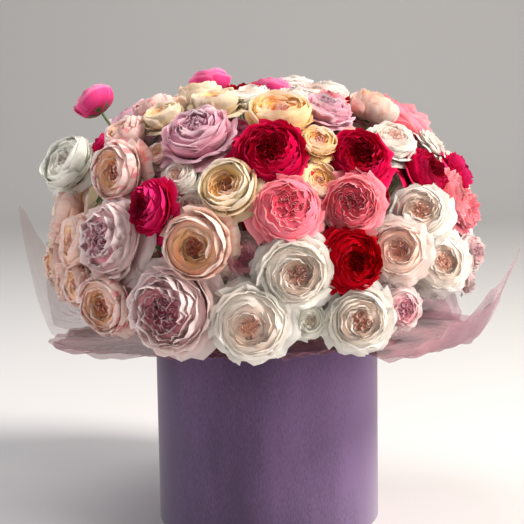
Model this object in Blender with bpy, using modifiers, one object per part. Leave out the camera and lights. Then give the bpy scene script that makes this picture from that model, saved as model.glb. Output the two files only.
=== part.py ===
"""A round velvet hat box filled with a dome of garden roses, built from its real pieces.

The box is a rigid tube with a bottom disc set into it. Inside stand a plastic liner tub and a block of
wet floral foam. Film sheets are tucked between liner and wall, lie over the rim and flare out. Each rose
or spray of roses is one solid: its blooms, its branches and the stem that stands in its own foam hole.
Units are metres, +Z is up, and the origin is the centre of the box's underside.
"""

import math
import random
from collections import namedtuple

import bmesh
import bpy
from mathutils import Matrix, Vector

COLLECTION_NAME = "Box of roses"
GUIDE_COLLECTION_NAME = "Cutters"

# The box, the liner and the foam
SIDES = 36
BOX_RADIUS = 0.120
BOX_HEIGHT = 0.210
WALL = 0.0025
EDGE_ROUND = 0.0010
BASE_THICKNESS = 0.003
GAP = 0.0004
FILM = 0.0008
FILM_LAYERS = 2
LINER_WALL = 0.0012
LINER_TOP = 0.186
FOAM_TOP = 0.222

# The dome that the blooms' centres lie on
DOME_CENTRE_Z = 0.252
DOME_RADIUS = 0.216
DOME_RISE = 0.205
DOME_FULLNESS = 2.7
DOME_LOWEST = 0.02

# Stems: they rise straight out of the foam, bend outwards, and a spray's branches leave its fork
STEM_RADIUS = 0.0022
BRANCH_RADIUS = 0.0015
HOLE_PLAY = 0.0004
HOLE_DEPTH = 0.060
HOLE_SPREAD = 0.101
HOLE_LOWEST = -0.10
STEM_SIDES = 6
BRANCH_SHARE = 0.45
STRAIGHT_RISE = 0.002
BEND_ASIDE = 0.30
BEND_UP = 0.42
BEND_LEAST = 0.006
BRANCH_SWEEP = 0.72
DRILL_ABOVE = 0.004

# Where the dome is seen from, and the field of view, for placing the blooms on the side that shows
EYE = Vector((-0.0038, -1.44, 0.476))
EYE_PITCH = math.radians(7.8)
EYE_ROLL = math.radians(0.88)
FOCAL_PIXELS = 1346.0
MIDDLE_PIXEL = 262.0

# Spacing of the blooms
BLOOM_CLEARANCE = 0.0005
CLOSENESS = 0.94
SETTLE_STEPS = 80
SETTLE_PUSH = 0.20
SETTLE_PULL = 0.20
GROW_STEPS = 30
GROW_SHARE = 1.015
MOST_GROWTH = 1.30
BACK_SEED = 206
BACK_SPRAYS = 14
BACK_SIZES = ((0.040, 4), (0.036, 7), (0.033, 7), (0.030, 7), (0.026, 7), (0.021, 7), (0.017, 6))
BACK_CANDIDATES = 1500
BACK_FACING = -0.12
FILLER_RADIUS = 0.022
SMALL_BLOOM = 0.0325
SIGHT_STEP = 0.002
SIGHT_NEAR = 1.05
SIGHT_FAR = 1.75

Rose = namedtuple("Rose", "stem across down diameter behind reach", defaults=(None, 1.0))

# Each rose that shows: its stem, its centre in the view in pixels, its diameter in millimetres,
# how far behind the axis it stands in metres where the crest hides that, and its reach from the dome,
# which is under 1 where it is tucked in behind its neighbours
SEEN_ROSES = (
    Rose("magenta_tall", across=95, down=103, diameter=44),
    Rose("magenta_tall", across=102, down=143, diameter=28, reach=0.95),
    Rose("magenta_top", across=210, down=84, diameter=46, behind=0.075),
    Rose("cream_top", across=198, down=101, diameter=56, behind=0.02),
    Rose("hotpink_top", across=240, down=100, diameter=38, behind=0.055),
    Rose("hotpink_top", across=239, down=121, diameter=28, reach=0.94),
    Rose("blush_crown", across=153, down=110, diameter=44),
    Rose("blush_crown", across=127, down=136, diameter=46),
    Rose("mauve_crown", across=197, down=136, diameter=70),
    Rose("white_left", across=70, down=163, diameter=60),
    Rose("peach_left", across=119, down=173, diameter=58),
    Rose("peach_left", across=153, down=148, diameter=26, reach=0.95),
    Rose("white_small", across=174, down=173, diameter=40, reach=0.95),
    Rose("white_small", across=191, down=205, diameter=36, reach=0.93),
    Rose("magenta_left", across=148, down=207, diameter=56),
    Rose("cream_heart", across=232, down=183, diameter=60),
    Rose("peach_heart", across=200, down=246, diameter=72),
    Rose("mauve_ruffled", across=113, down=238, diameter=76),
    Rose("peach_side", across=68, down=220, diameter=58),
    Rose("peach_side", across=60, down=264, diameter=46),
    Rose("peach_low", across=107, down=303, diameter=58),
    Rose("pink_low", across=172, down=303, diameter=84),
    Rose("blush_middle", across=243, down=257, diameter=48, reach=0.91),
    Rose("white_low", across=256, down=318, diameter=70),
    Rose("white_low", across=312, down=322, diameter=34, reach=0.93),
    Rose("white_main", across=293, down=268, diameter=76),
    Rose("red_main", across=352, down=260, diameter=66),
    Rose("blush_right", across=392, down=250, diameter=58),
    Rose("white_right", across=419, down=213, diameter=56),
    Rose("white_right", across=439, down=262, diameter=60),
    Rose("pink_edge", across=472, down=252, diameter=38),
    Rose("pink_edge", across=468, down=280, diameter=28),
    Rose("coral_edge", across=466, down=208, diameter=44),
    Rose("crimson_right", across=424, down=172, diameter=54),
    Rose("crimson_right", across=459, down=171, diameter=42),
    Rose("white_front", across=360, down=314, diameter=62),
    Rose("white_front", across=400, down=309, diameter=42),
    Rose("coral_pair", across=287, down=211, diameter=62),
    Rose("coral_pair", across=350, down=203, diameter=56),
    Rose("cream_small", across=324, down=175, diameter=42, reach=0.93),
    Rose("crimson_main", across=267, down=163, diameter=72),
    Rose("crimson_upper", across=357, down=159, diameter=58),
    Rose("crimson_upper", across=386, down=190, diameter=26, reach=0.94),
    Rose("yellow_pair", across=280, down=117, diameter=60),
    Rose("yellow_pair", across=319, down=144, diameter=34),
    Rose("hotpink_crest", across=270, down=92, diameter=46, behind=0.085),
    Rose("white_crest", across=297, down=88, diameter=46, behind=0.115),
    Rose("white_crest", across=330, down=92, diameter=42, behind=0.085),
    Rose("blush_crest", across=325, down=111, diameter=52),
    Rose("peach_crest", across=373, down=110, diameter=52),
    Rose("peach_crest", across=358, down=132, diameter=28, reach=0.95),
    Rose("white_upper", across=394, down=143, diameter=48),
    Rose("white_upper", across=432, down=143, diameter=34),
)

# The film: middle turn, turn of the pointed corner, reach at the first side, at the corner and at the
# last side, lift of the corner, and layer, where 1 lies over 0
Sheet = namedtuple("Sheet", "name middle corner first_reach corner_reach last_reach lift layer")
SHEETS = (
    Sheet("film_right", 340, 344, 0.234, 0.272, 0.200, 0.092, 0),
    Sheet("film_back_right", 40, 45, 0.205, 0.266, 0.205, 0.070, 1),
    Sheet("film_back", 100, 100, 0.210, 0.262, 0.210, 0.055, 0),
    Sheet("film_left", 160, 172, 0.205, 0.274, 0.205, 0.128, 1),
    Sheet("film_left_low", 220, 213, 0.190, 0.251, 0.184, 0.019, 0),
    Sheet("film_front", 280, 265, 0.184, 0.188, 0.180, 0.000, 1),
)
SHEET_HALF_SPAN = 40
SHEET_COLUMNS = 8
FILM_TUCK_Z = 0.160
FILM_LIFT_IN = 0.0006
FILM_LIFT_OUT = 0.0030
FILM_PAST_RIM = 0.0022
FILM_LIE_START = 0.152
FILM_FLARE_ROWS = 3
FILM_LIE_Z = 0.2105
FILM_LAYER_STEP = 0.0022
FILM_RISE_START = 0.231
FILM_RISE_END = 0.272
FILM_RISE_POWER = 1.2
CORNER_SHARPNESS = 1.25

# Bloom forms: rings from the heart to the foot as (radius, height) shares of the bloom's radius,
# with +1 or -1 for a ring whose petals stand on even or odd points, and 0 for a plain groove
OPEN_BLOOM = (
    (0.00, 0.42, 0),
    (0.26, 0.58, 1),
    (0.40, 0.36, 0),
    (0.68, 0.50, -1),
    (0.72, 0.22, 0),
    (1.00, 0.22, 1),
    (0.76, -0.38, 0),
    (0.00, -0.76, 0),
)
SMALL_OPEN_BLOOM = (
    (0.00, 0.46, 0),
    (0.32, 0.62, 1),
    (0.46, 0.40, 0),
    (0.78, 0.46, -1),
    (1.00, 0.08, 1),
    (0.72, -0.44, 0),
    (0.00, -0.80, 0),
)
FOOT_SINK = 0.50
OPEN_POINTS = 10
SMALL_POINTS = 8
PETAL_DIP = 0.13
PETAL_DROP = 0.07

COLOURS = {
    "velvet": (0.20, 0.12, 0.25),
    "board": (0.35, 0.30, 0.26),
    "liner": (0.55, 0.58, 0.58),
    "foam": (0.06, 0.16, 0.08),
    "film": (0.40, 0.26, 0.28),
    "white": (0.80, 0.76, 0.68),
    "cream": (0.84, 0.66, 0.38),
    "yellow": (0.86, 0.58, 0.24),
    "blush": (0.80, 0.52, 0.50),
    "pink": (0.76, 0.33, 0.42),
    "mauve": (0.66, 0.32, 0.42),
    "hotpink": (0.75, 0.08, 0.25),
    "magenta": (0.62, 0.03, 0.19),
    "crimson": (0.42, 0.01, 0.06),
    "red": (0.40, 0.01, 0.03),
    "coral": (0.78, 0.17, 0.22),
    "peach": (0.84, 0.48, 0.34),
}
BACK_VARIETIES = (
    "white", "magenta", "peach", "blush", "cream", "crimson", "pink", "white",
    "coral", "mauve", "blush", "yellow", "red", "white",
)
PETAL_ROUGHNESS = 0.6


def clear_scene():
    for obj in list(bpy.data.objects):
        bpy.data.objects.remove(obj, do_unlink=True)


def new_collection(name):
    collection = bpy.data.collections.new(name)
    bpy.context.scene.collection.children.link(collection)
    return collection


def material(name, roughness=PETAL_ROUGHNESS, alpha=1.0):
    """The material of this colour's name, made once."""
    made = bpy.data.materials.get(name)
    if made is None:
        made = bpy.data.materials.new(name)
        made.use_nodes = True
        shader = made.node_tree.nodes["Principled BSDF"]
        shader.inputs["Base Color"].default_value = (*COLOURS[name], 1.0)
        shader.inputs["Roughness"].default_value = roughness
        shader.inputs["Alpha"].default_value = alpha
    return made


def add_object(collection, name, mesh, finish):
    obj = bpy.data.objects.new(name, mesh)
    collection.objects.link(obj)
    if not mesh.materials:
        mesh.materials.append(finish)
    return obj


def turned(collection, name, profile, closed, finish):
    """A ring or cup turned from a profile at +X that runs down its outer side."""
    mesh = bpy.data.meshes.new(name)
    edges = [(i, i + 1) for i in range(len(profile) - 1)]
    if closed:
        edges.append((len(profile) - 1, 0))
    mesh.from_pydata([(radius, 0.0, height) for radius, height in profile], edges, [])
    obj = add_object(collection, name, mesh, finish)
    screw = obj.modifiers.new("Turn", "SCREW")
    screw.steps = SIDES
    screw.render_steps = SIDES
    screw.use_merge_vertices = True
    screw.merge_threshold = 0.00005
    screw.use_smooth_shade = True
    return obj


def build_box(collection):
    inner = BOX_RADIUS - WALL
    wall_profile = (
        (inner + WALL / 2, BOX_HEIGHT),
        (BOX_RADIUS, BOX_HEIGHT - EDGE_ROUND),
        (BOX_RADIUS, EDGE_ROUND),
        (BOX_RADIUS - EDGE_ROUND, 0.0),
        (inner, 0.0),
        (inner, BOX_HEIGHT - EDGE_ROUND),
    )
    turned(collection, "box_wall", wall_profile, True, material("velvet", 0.9))
    disc = bmesh.new()
    bmesh.ops.create_cone(
        disc,
        cap_ends=True,
        segments=SIDES,
        radius1=inner - GAP,
        radius2=inner - GAP,
        depth=BASE_THICKNESS,
        matrix=Matrix.Translation((0, 0, BASE_THICKNESS / 2)),
    )
    mesh = bpy.data.meshes.new("box_base")
    disc.to_mesh(mesh)
    disc.free()
    add_object(collection, "box_base", mesh, material("board", 0.9))


def liner_radius():
    """The liner's outer radius, inside the wall and the tucked layers of film."""
    return BOX_RADIUS - WALL - GAP - FILM_LAYERS * (FILM + GAP)


def build_liner(collection):
    outer = liner_radius()
    inner = outer - LINER_WALL
    floor = BASE_THICKNESS + GAP
    profile = (
        (0.0, floor + LINER_WALL),
        (inner, floor + LINER_WALL),
        (inner, LINER_TOP),
        (outer, LINER_TOP),
        (outer, floor),
        (0.0, floor),
    )
    turned(collection, "liner_tub", profile, False, material("liner", 0.4))


def axis_along(direction):
    """The turn that takes +Z to this direction."""
    return direction.to_track_quat("Z", "Y").to_matrix().to_4x4()


def view_ray(across, down):
    """The direction in which a point of the view lies, seen from EYE."""
    right = Vector((math.cos(EYE_ROLL), 0.0, -math.sin(EYE_ROLL)))
    forward = Vector((0.0, math.cos(EYE_PITCH), -math.sin(EYE_PITCH)))
    up = right.cross(forward)
    aside = (across - MIDDLE_PIXEL) / FOCAL_PIXELS
    below = (down - MIDDLE_PIXEL) / FOCAL_PIXELS
    return (forward + right * aside - up * below).normalized()


def dome_measure(point):
    """1 on the dome, less inside it and more outside."""
    wide = math.hypot(point.x, point.y) / DOME_RADIUS
    high = abs(point.z - DOME_CENTRE_Z) / DOME_RISE
    return (wide**DOME_FULLNESS + high**DOME_FULLNESS) ** (1 / DOME_FULLNESS)


def onto_dome(point, reach=1.0):
    """The point moved straight towards or from the dome's centre, onto the dome."""
    centre = Vector((0, 0, DOME_CENTRE_Z))
    return centre + (point - centre) * (reach / dome_measure(point))


def seen_place(rose):
    """Where the line of sight to this rose meets the dome, or passes nearest to it."""
    ray = view_ray(rose.across, rose.down)
    if rose.behind is not None:
        return EYE + ray * ((rose.behind - EYE.y) / ray.y)
    steps = math.ceil((SIGHT_FAR - SIGHT_NEAR) / SIGHT_STEP)
    sights = [EYE + ray * (SIGHT_NEAR + SIGHT_STEP * step) for step in range(steps)]
    met = [point for point in sights if dome_measure(point) <= 1.0]
    if met:
        return onto_dome(met[0], rose.reach)
    return min(sights, key=dome_measure)


def outward(place):
    """The dome's outward direction at a place."""
    wide = math.hypot(place.x, place.y)
    side = (wide / DOME_RADIUS) ** (DOME_FULLNESS - 1) / DOME_RADIUS
    high = (place.z - DOME_CENTRE_Z) / DOME_RISE
    rise = math.copysign(abs(high) ** (DOME_FULLNESS - 1), high) / DOME_RISE
    return Vector((side * place.x / wide, side * place.y / wide, rise)).normalized()


def settle(places, homes, radii):
    """Pushes crowded blooms apart and pulls each towards its home, at its home's reach from the dome."""
    reaches = [dome_measure(home) for home in homes]
    for _ in range(SETTLE_STEPS):
        moves = [Vector((0, 0, 0)) for _ in places]
        for i in range(len(places)):
            for j in range(i + 1, len(places)):
                apart = places[i] - places[j]
                lap = radii[i] + radii[j] + BLOOM_CLEARANCE - apart.length
                if lap > 0:
                    push = apart.normalized() * (lap * SETTLE_PUSH)
                    moves[i] += push
                    moves[j] -= push
        for i, move in enumerate(moves):
            pulled = places[i] + move + (homes[i] - places[i]) * SETTLE_PULL
            places[i] = onto_dome(pulled, reaches[i])


def shrink_to_fit(places, radii):
    """Takes from each of two blooms that still overlap its share of the overlap."""
    for i in range(len(places)):
        for j in range(i + 1, len(places)):
            apart = (places[i] - places[j]).length
            lap = radii[i] + radii[j] + BLOOM_CLEARANCE - apart
            if lap > 0:
                share = radii[i] / (radii[i] + radii[j])
                radii[i] -= lap * share
                radii[j] -= lap * (1 - share)


def seen_blooms():
    """Stem name, place and radius of each bloom on the side that shows."""
    homes = [seen_place(rose) for rose in SEEN_ROSES]
    radii = [rose.diameter / 2000 * CLOSENESS for rose in SEEN_ROSES]
    places = [home.copy() for home in homes]
    settle(places, homes, radii)
    shrink_to_fit(places, radii)
    return [(rose.stem, place, radius) for rose, place, radius in zip(SEEN_ROSES, places, radii)]


def facing(place):
    """1 where the dome faces the view, 0 at its outline and less on its far side."""
    return outward(place).dot((EYE - place).normalized())


def back_blooms(taken, draws):
    """Places and radii of blooms that fill the rest of the dome, the largest first.

    On the side that shows, only the smallest fill what is left between the roses.
    """
    golden = math.pi * (3 - math.sqrt(5))
    steps = list(range(BACK_CANDIDATES))
    draws.shuffle(steps)
    placed = []
    for radius, most in BACK_SIZES:
        count = 0
        for step in steps:
            high = 1 - (1 - DOME_LOWEST) * (step + 0.5) / BACK_CANDIDATES
            ring = math.sqrt(1 - high * high)
            turn = golden * step
            place = onto_dome(Vector((ring * math.cos(turn), ring * math.sin(turn), high + DOME_CENTRE_Z)))
            if count == most or (radius > FILLER_RADIUS and facing(place) > BACK_FACING):
                continue
            others = [(p, r) for _, p, r in taken] + placed
            if all((place - p).length > radius + r + BLOOM_CLEARANCE for p, r in others):
                placed.append((place, radius))
                count += 1
    return placed


def grouped(blooms, groups):
    """Splits blooms into this many sprays of neighbours, two or three to a spray."""
    left = sorted(blooms, key=lambda bloom: math.atan2(bloom[0].y, bloom[0].x) % math.tau)
    sprays = []
    while left:
        size = math.ceil(len(left) / (groups - len(sprays)))
        first = min(left, key=lambda bloom: bloom[0].z)
        near = sorted(left, key=lambda bloom: (bloom[0] - first[0]).length)[:size]
        sprays.append(near)
        left = [bloom for bloom in left if all(bloom is not other for other in near)]
    return sprays


def grow_to_fit(places, radii):
    """Opens each bloom a little at a time while its neighbours leave it room."""
    most = [radius * MOST_GROWTH for radius in radii]
    for _ in range(GROW_STEPS):
        for i, place in enumerate(places):
            room = min(
                (place - other).length - radius
                for j, (other, radius) in enumerate(zip(places, radii))
                if j != i
            )
            radii[i] = max(radii[i], min(radii[i] * GROW_SHARE, room - BLOOM_CLEARANCE, most[i]))


def all_stems():
    """Stem name to its list of (place, radius), for every rose and spray in the box."""
    seen = seen_blooms()
    backs = back_blooms(seen, random.Random(BACK_SEED))
    named = list(seen)
    for number, spray in enumerate(grouped(backs, BACK_SPRAYS)):
        name = f"{BACK_VARIETIES[number]}_back_{number + 1:02d}"
        named += [(name, place, radius) for place, radius in spray]
    radii = [radius for _, _, radius in named]
    grow_to_fit([place for _, place, _ in named], radii)
    stems = {}
    for (name, place, _), radius in zip(named, radii):
        stems.setdefault(name, []).append((place, radius))
    return stems


def hole_place(place):
    """The top of the foam hole for a stem that goes to this place: outer blooms stand further out."""
    high = (place - Vector((0, 0, DOME_CENTRE_Z))).normalized().z
    spread = HOLE_SPREAD * math.sqrt((1 - max(high, HOLE_LOWEST)) / (1 - HOLE_LOWEST))
    turn = math.atan2(place.y, place.x)
    return Vector((spread * math.cos(turn), spread * math.sin(turn), FOAM_TOP))


def stem_bend(hole, end):
    """Where a stem has bent from the foam's vertical towards its bloom."""
    return Vector((
        hole.x + (end.x - hole.x) * BEND_ASIDE,
        hole.y + (end.y - hole.y) * BEND_ASIDE,
        hole.z + BEND_LEAST + max(0.0, end.z - hole.z) * BEND_UP,
    ))


def along_stem(hole, end, share):
    """A point on the smooth path from the foam to a bloom's foot."""
    bend = stem_bend(hole, end)
    return hole * (1 - share) ** 2 + bend * (2 * share * (1 - share)) + end * share**2


def rod(collection, name, points, radius, roundness):
    """A rod through these points, as a mesh object, with 4 sides and two more for each step of roundness."""
    curve = bpy.data.curves.new(name, "CURVE")
    curve.dimensions = "3D"
    curve.bevel_depth = radius
    curve.bevel_resolution = roundness
    curve.use_fill_caps = True
    spline = curve.splines.new("POLY")
    spline.points.add(len(points) - 1)
    for control, point in zip(spline.points, points):
        control.co = (*point, 1.0)
    guide = bpy.data.objects.new(name + "_curve", curve)
    collection.objects.link(guide)
    bpy.context.view_layer.update()
    graph = bpy.context.evaluated_depsgraph_get()
    mesh = bpy.data.meshes.new_from_object(guide.evaluated_get(graph))
    welded = bmesh.new()
    welded.from_mesh(mesh)
    bmesh.ops.remove_doubles(welded, verts=welded.verts, dist=0.00001)
    bmesh.ops.recalc_face_normals(welded, faces=welded.faces)
    welded.to_mesh(mesh)
    welded.free()
    made = bpy.data.objects.new(name, mesh)
    made.matrix_world = guide.matrix_world
    collection.objects.link(made)
    bpy.data.objects.remove(guide, do_unlink=True)
    return made


def bloom(collection, name, place, radius, twist):
    """A rosette of petals in layers, raised from a ball by its form's rings."""
    small = radius < SMALL_BLOOM
    form = SMALL_OPEN_BLOOM if small else OPEN_BLOOM
    points = SMALL_POINTS if small else OPEN_POINTS
    rings = len(form) - 1
    rosette = bmesh.new()
    bmesh.ops.create_uvsphere(rosette, u_segments=points, v_segments=rings, radius=1.0)
    for vertex in rosette.verts:
        ring = round(math.acos(max(-1.0, min(1.0, vertex.co.z))) / math.pi * rings)
        turn = math.atan2(vertex.co.y, vertex.co.x)
        point = round(turn / math.tau * points)
        width, height, petals = form[ring]
        if petals and (-1) ** point != petals:
            width *= 1 - PETAL_DIP
            height -= PETAL_DROP
        vertex.co = (radius * width * math.cos(turn), radius * width * math.sin(turn), radius * height)
    stance = axis_along(outward(place)) @ Matrix.Rotation(twist, 4, "Z")
    bmesh.ops.transform(rosette, matrix=Matrix.Translation(place) @ stance, verts=rosette.verts)
    mesh = bpy.data.meshes.new(name)
    rosette.to_mesh(mesh)
    rosette.free()
    made = bpy.data.objects.new(name, mesh)
    collection.objects.link(made)
    return made


def united(base, repeats):
    """Joins the collection's objects into the base, and removes them."""
    join = base.modifiers.new("Join", "BOOLEAN")
    join.operation = "UNION"
    join.operand_type = "COLLECTION"
    join.collection = repeats
    join.solver = "MANIFOLD"
    bpy.context.view_layer.update()
    graph = bpy.context.evaluated_depsgraph_get()
    mesh = bpy.data.meshes.new_from_object(base.evaluated_get(graph))
    base.modifiers.clear()
    base.data = mesh
    for obj in list(repeats.objects):
        bpy.data.objects.remove(obj, do_unlink=True)


def foot_of(place, radius):
    """Where a stem's end is sunk into its bloom."""
    return place - outward(place) * (radius * FOOT_SINK)


def build_stem(collection, name, blooms, twists):
    """One rose, or one spray of roses, with its stem in the foam. Returns the hole's place."""
    middle = sum((place for place, _ in blooms), Vector()) / len(blooms)
    hole = hole_place(middle)
    seat = hole - Vector((0, 0, HOLE_DEPTH - HOLE_PLAY))
    repeats = bpy.data.collections.new(name + "_repeats")
    bpy.context.scene.collection.children.link(repeats)
    straight = hole + Vector((0, 0, STRAIGHT_RISE))
    if len(blooms) == 1:
        foot = foot_of(*blooms[0])
        points = [seat, straight, along_stem(straight, foot, 0.5), foot]
    else:
        foot = sum((foot_of(*one) for one in blooms), Vector()) / len(blooms)
        fork = along_stem(straight, foot, BRANCH_SHARE)
        points = [seat, straight, fork]
        for number, one in enumerate(blooms):
            end = foot_of(*one)
            way = fork.lerp(end, 0.5).lerp(along_stem(straight, end, BRANCH_SWEEP), 0.5)
            rod(repeats, f"{name}_branch_{number}", [fork, way, end], BRANCH_RADIUS, 0)
    for number, (place, radius) in enumerate(blooms):
        bloom(repeats, f"{name}_bloom_{number}", place, radius, twists.uniform(0, math.tau))
    base = rod(collection, name, points, STEM_RADIUS, 1)
    united(base, repeats)
    bpy.data.collections.remove(repeats)
    base.data.materials.clear()
    base.data.materials.append(material(name.split("_")[0]))
    return hole


def build_foam(collection, cutters, holes):
    """The foam block with a plain blind hole for each stem."""
    floor = BASE_THICKNESS + GAP + LINER_WALL + GAP
    radius = liner_radius() - LINER_WALL - GAP
    block = bmesh.new()
    bmesh.ops.create_cone(
        block,
        cap_ends=True,
        segments=SIDES,
        radius1=radius,
        radius2=radius,
        depth=FOAM_TOP - floor,
        matrix=Matrix.Translation((0, 0, (FOAM_TOP + floor) / 2)),
    )
    mesh = bpy.data.meshes.new("wet_foam")
    block.to_mesh(mesh)
    block.free()
    foam = add_object(collection, "wet_foam", mesh, material("foam", 0.95))
    hole_radius = (STEM_RADIUS + HOLE_PLAY) / math.cos(math.pi / STEM_SIDES)
    for number, hole in enumerate(holes):
        drill = bmesh.new()
        bmesh.ops.create_cone(
            drill,
            cap_ends=True,
            segments=STEM_SIDES,
            radius1=hole_radius,
            radius2=hole_radius,
            depth=HOLE_DEPTH + DRILL_ABOVE,
            matrix=Matrix.Translation(hole + Vector((0, 0, (DRILL_ABOVE - HOLE_DEPTH) / 2))),
        )
        cutter_mesh = bpy.data.meshes.new(f"hole_{number:02d}")
        drill.to_mesh(cutter_mesh)
        drill.free()
        cutter = bpy.data.objects.new(f"hole_{number:02d}", cutter_mesh)
        cutter.hide_render = True
        cutter.display_type = "WIRE"
        cutters.objects.link(cutter)
    cut = foam.modifiers.new("Holes", "BOOLEAN")
    cut.operation = "DIFFERENCE"
    cut.operand_type = "COLLECTION"
    cut.collection = cutters


def film_profile(layer):
    """(radius, height) of a film layer from its tuck to where it lies under the blooms."""
    inset = layer * (FILM + GAP)
    raised = layer * FILM_LAYER_STEP
    tuck = BOX_RADIUS - WALL - GAP - FILM / 2 - inset
    return (
        (tuck, FILM_TUCK_Z),
        (tuck, BOX_HEIGHT + FILM_LIFT_IN + raised / 2),
        (BOX_RADIUS + FILM_PAST_RIM - inset, BOX_HEIGHT + FILM_LIFT_OUT + raised),
        (FILM_LIE_START, FILM_LIE_Z + raised),
    )


def build_sheet(collection, sheet):
    """A film sheet with one pointed corner, tucked into the box and flaring out over its rim."""
    profile = film_profile(sheet.layer)
    rows = len(profile) + FILM_FLARE_ROWS
    grid = bmesh.new()
    bmesh.ops.create_grid(grid, x_segments=SHEET_COLUMNS, y_segments=rows - 1, size=0.5)
    level = FILM_LIE_Z + sheet.layer * FILM_LAYER_STEP
    for vertex in grid.verts:
        column = round((vertex.co.x + 0.5) * SHEET_COLUMNS)
        row = round((vertex.co.y + 0.5) * (rows - 1))
        turn = sheet.middle - SHEET_HALF_SPAN + column * 2 * SHEET_HALF_SPAN / SHEET_COLUMNS
        if row < len(profile):
            reach, height = profile[row]
        else:
            aside = min(1.0, abs(turn - sheet.corner) / SHEET_HALF_SPAN)
            tip = (1 - aside) ** CORNER_SHARPNESS
            side = sheet.first_reach if turn < sheet.corner else sheet.last_reach
            edge = side + (sheet.corner_reach - side) * tip
            share = (row - len(profile) + 1) / (rows - len(profile))
            start = profile[-1][0]
            reach = start + (edge - start) * share
            rise = max(0.0, min(1.0, (reach - FILM_RISE_START) / (FILM_RISE_END - FILM_RISE_START)))
            height = level + sheet.lift * rise**FILM_RISE_POWER
        angle = math.radians(turn)
        vertex.co = (reach * math.cos(angle), reach * math.sin(angle), height)
    bmesh.ops.recalc_face_normals(grid, faces=grid.faces)
    mesh = bpy.data.meshes.new(sheet.name)
    grid.to_mesh(mesh)
    grid.free()
    obj = add_object(collection, sheet.name, mesh, material("film", 0.45, 0.6))
    wall = obj.modifiers.new("Thickness", "SOLIDIFY")
    wall.thickness = FILM
    wall.offset = 0.0
    wall.use_even_offset = True


def main():
    clear_scene()
    collection = new_collection(COLLECTION_NAME)
    cutters = new_collection(GUIDE_COLLECTION_NAME)
    build_box(collection)
    build_liner(collection)
    for sheet in SHEETS:
        build_sheet(collection, sheet)
    twists = random.Random(BACK_SEED)
    holes = [
        build_stem(collection, name, blooms, twists)
        for name, blooms in all_stems().items()
    ]
    build_foam(collection, cutters, holes)


main()
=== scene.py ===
"""The looks of a velvet hat box filled with a dome of garden roses.

Every rose or spray is one piece: its petals, calyxes and stem stand where its solid does. Petals are
thin closed blades, set out by one Geometry Nodes tree from a bloom's seats. Units are metres, +Z is up.
"""

import logging
import math
import random
from collections.abc import Iterator, Sequence
from dataclasses import dataclass, field, fields, replace
from enum import Enum
from functools import cache
from itertools import combinations

import bmesh
import bpy
import numpy as np
from mathutils import Matrix, Vector


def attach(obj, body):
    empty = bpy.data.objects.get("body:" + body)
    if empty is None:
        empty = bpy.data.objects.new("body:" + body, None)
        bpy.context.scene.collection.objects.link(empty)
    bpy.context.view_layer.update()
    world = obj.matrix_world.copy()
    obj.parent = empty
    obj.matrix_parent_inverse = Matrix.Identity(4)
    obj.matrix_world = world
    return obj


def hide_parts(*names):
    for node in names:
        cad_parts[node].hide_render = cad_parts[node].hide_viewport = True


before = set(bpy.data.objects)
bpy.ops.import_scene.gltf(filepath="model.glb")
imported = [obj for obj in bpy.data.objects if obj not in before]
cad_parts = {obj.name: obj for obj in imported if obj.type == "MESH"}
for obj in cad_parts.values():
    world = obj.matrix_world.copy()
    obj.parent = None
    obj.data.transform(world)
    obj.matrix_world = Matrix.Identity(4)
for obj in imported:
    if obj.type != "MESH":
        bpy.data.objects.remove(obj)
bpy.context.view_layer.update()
BODY = "root"
log = logging.getLogger("box_of_roses")

Mesh = bpy.types.Mesh
Socket = bpy.types.NodeSocket
Value = Socket | float
Colour = tuple[float, float, float, float]
Bloom = tuple[Vector, float]


def tone(code: str) -> Colour:
    """The linear colour of a six-digit screen colour."""
    parts = [int(code[i:i + 2], 16) / 255 for i in (0, 2, 4)]
    return (*[part / 12.92 if part <= 0.04045 else ((part + 0.055) / 1.055) ** 2.4 for part in parts], 1.0)


# Node trees


FLOAT = "NodeSocketFloat"
COLOUR = "NodeSocketColor"
GEOMETRY = "NodeSocketGeometry"
SOCKET_OF = {float: FLOAT, int: "NodeSocketInt", tuple: COLOUR}
TINT_OUTPUTS = {"Color": COLOUR, "Roughness": FLOAT, "Height": FLOAT}
WHITE = (1.0, 1.0, 1.0, 1.0)
GREY = (0.5, 0.5, 0.5, 1.0)


def fill(node: bpy.types.Node, values: dict) -> None:
    """Gives inputs of a node what they take.

    Args:
        node: The node.
        values: Input name or number to a socket that feeds it, or to its value.
    """
    for key, value in values.items():
        if isinstance(value, Socket):
            node.id_data.links.new(value, node.inputs[key])
        else:
            node.inputs[key].default_value = value


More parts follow.
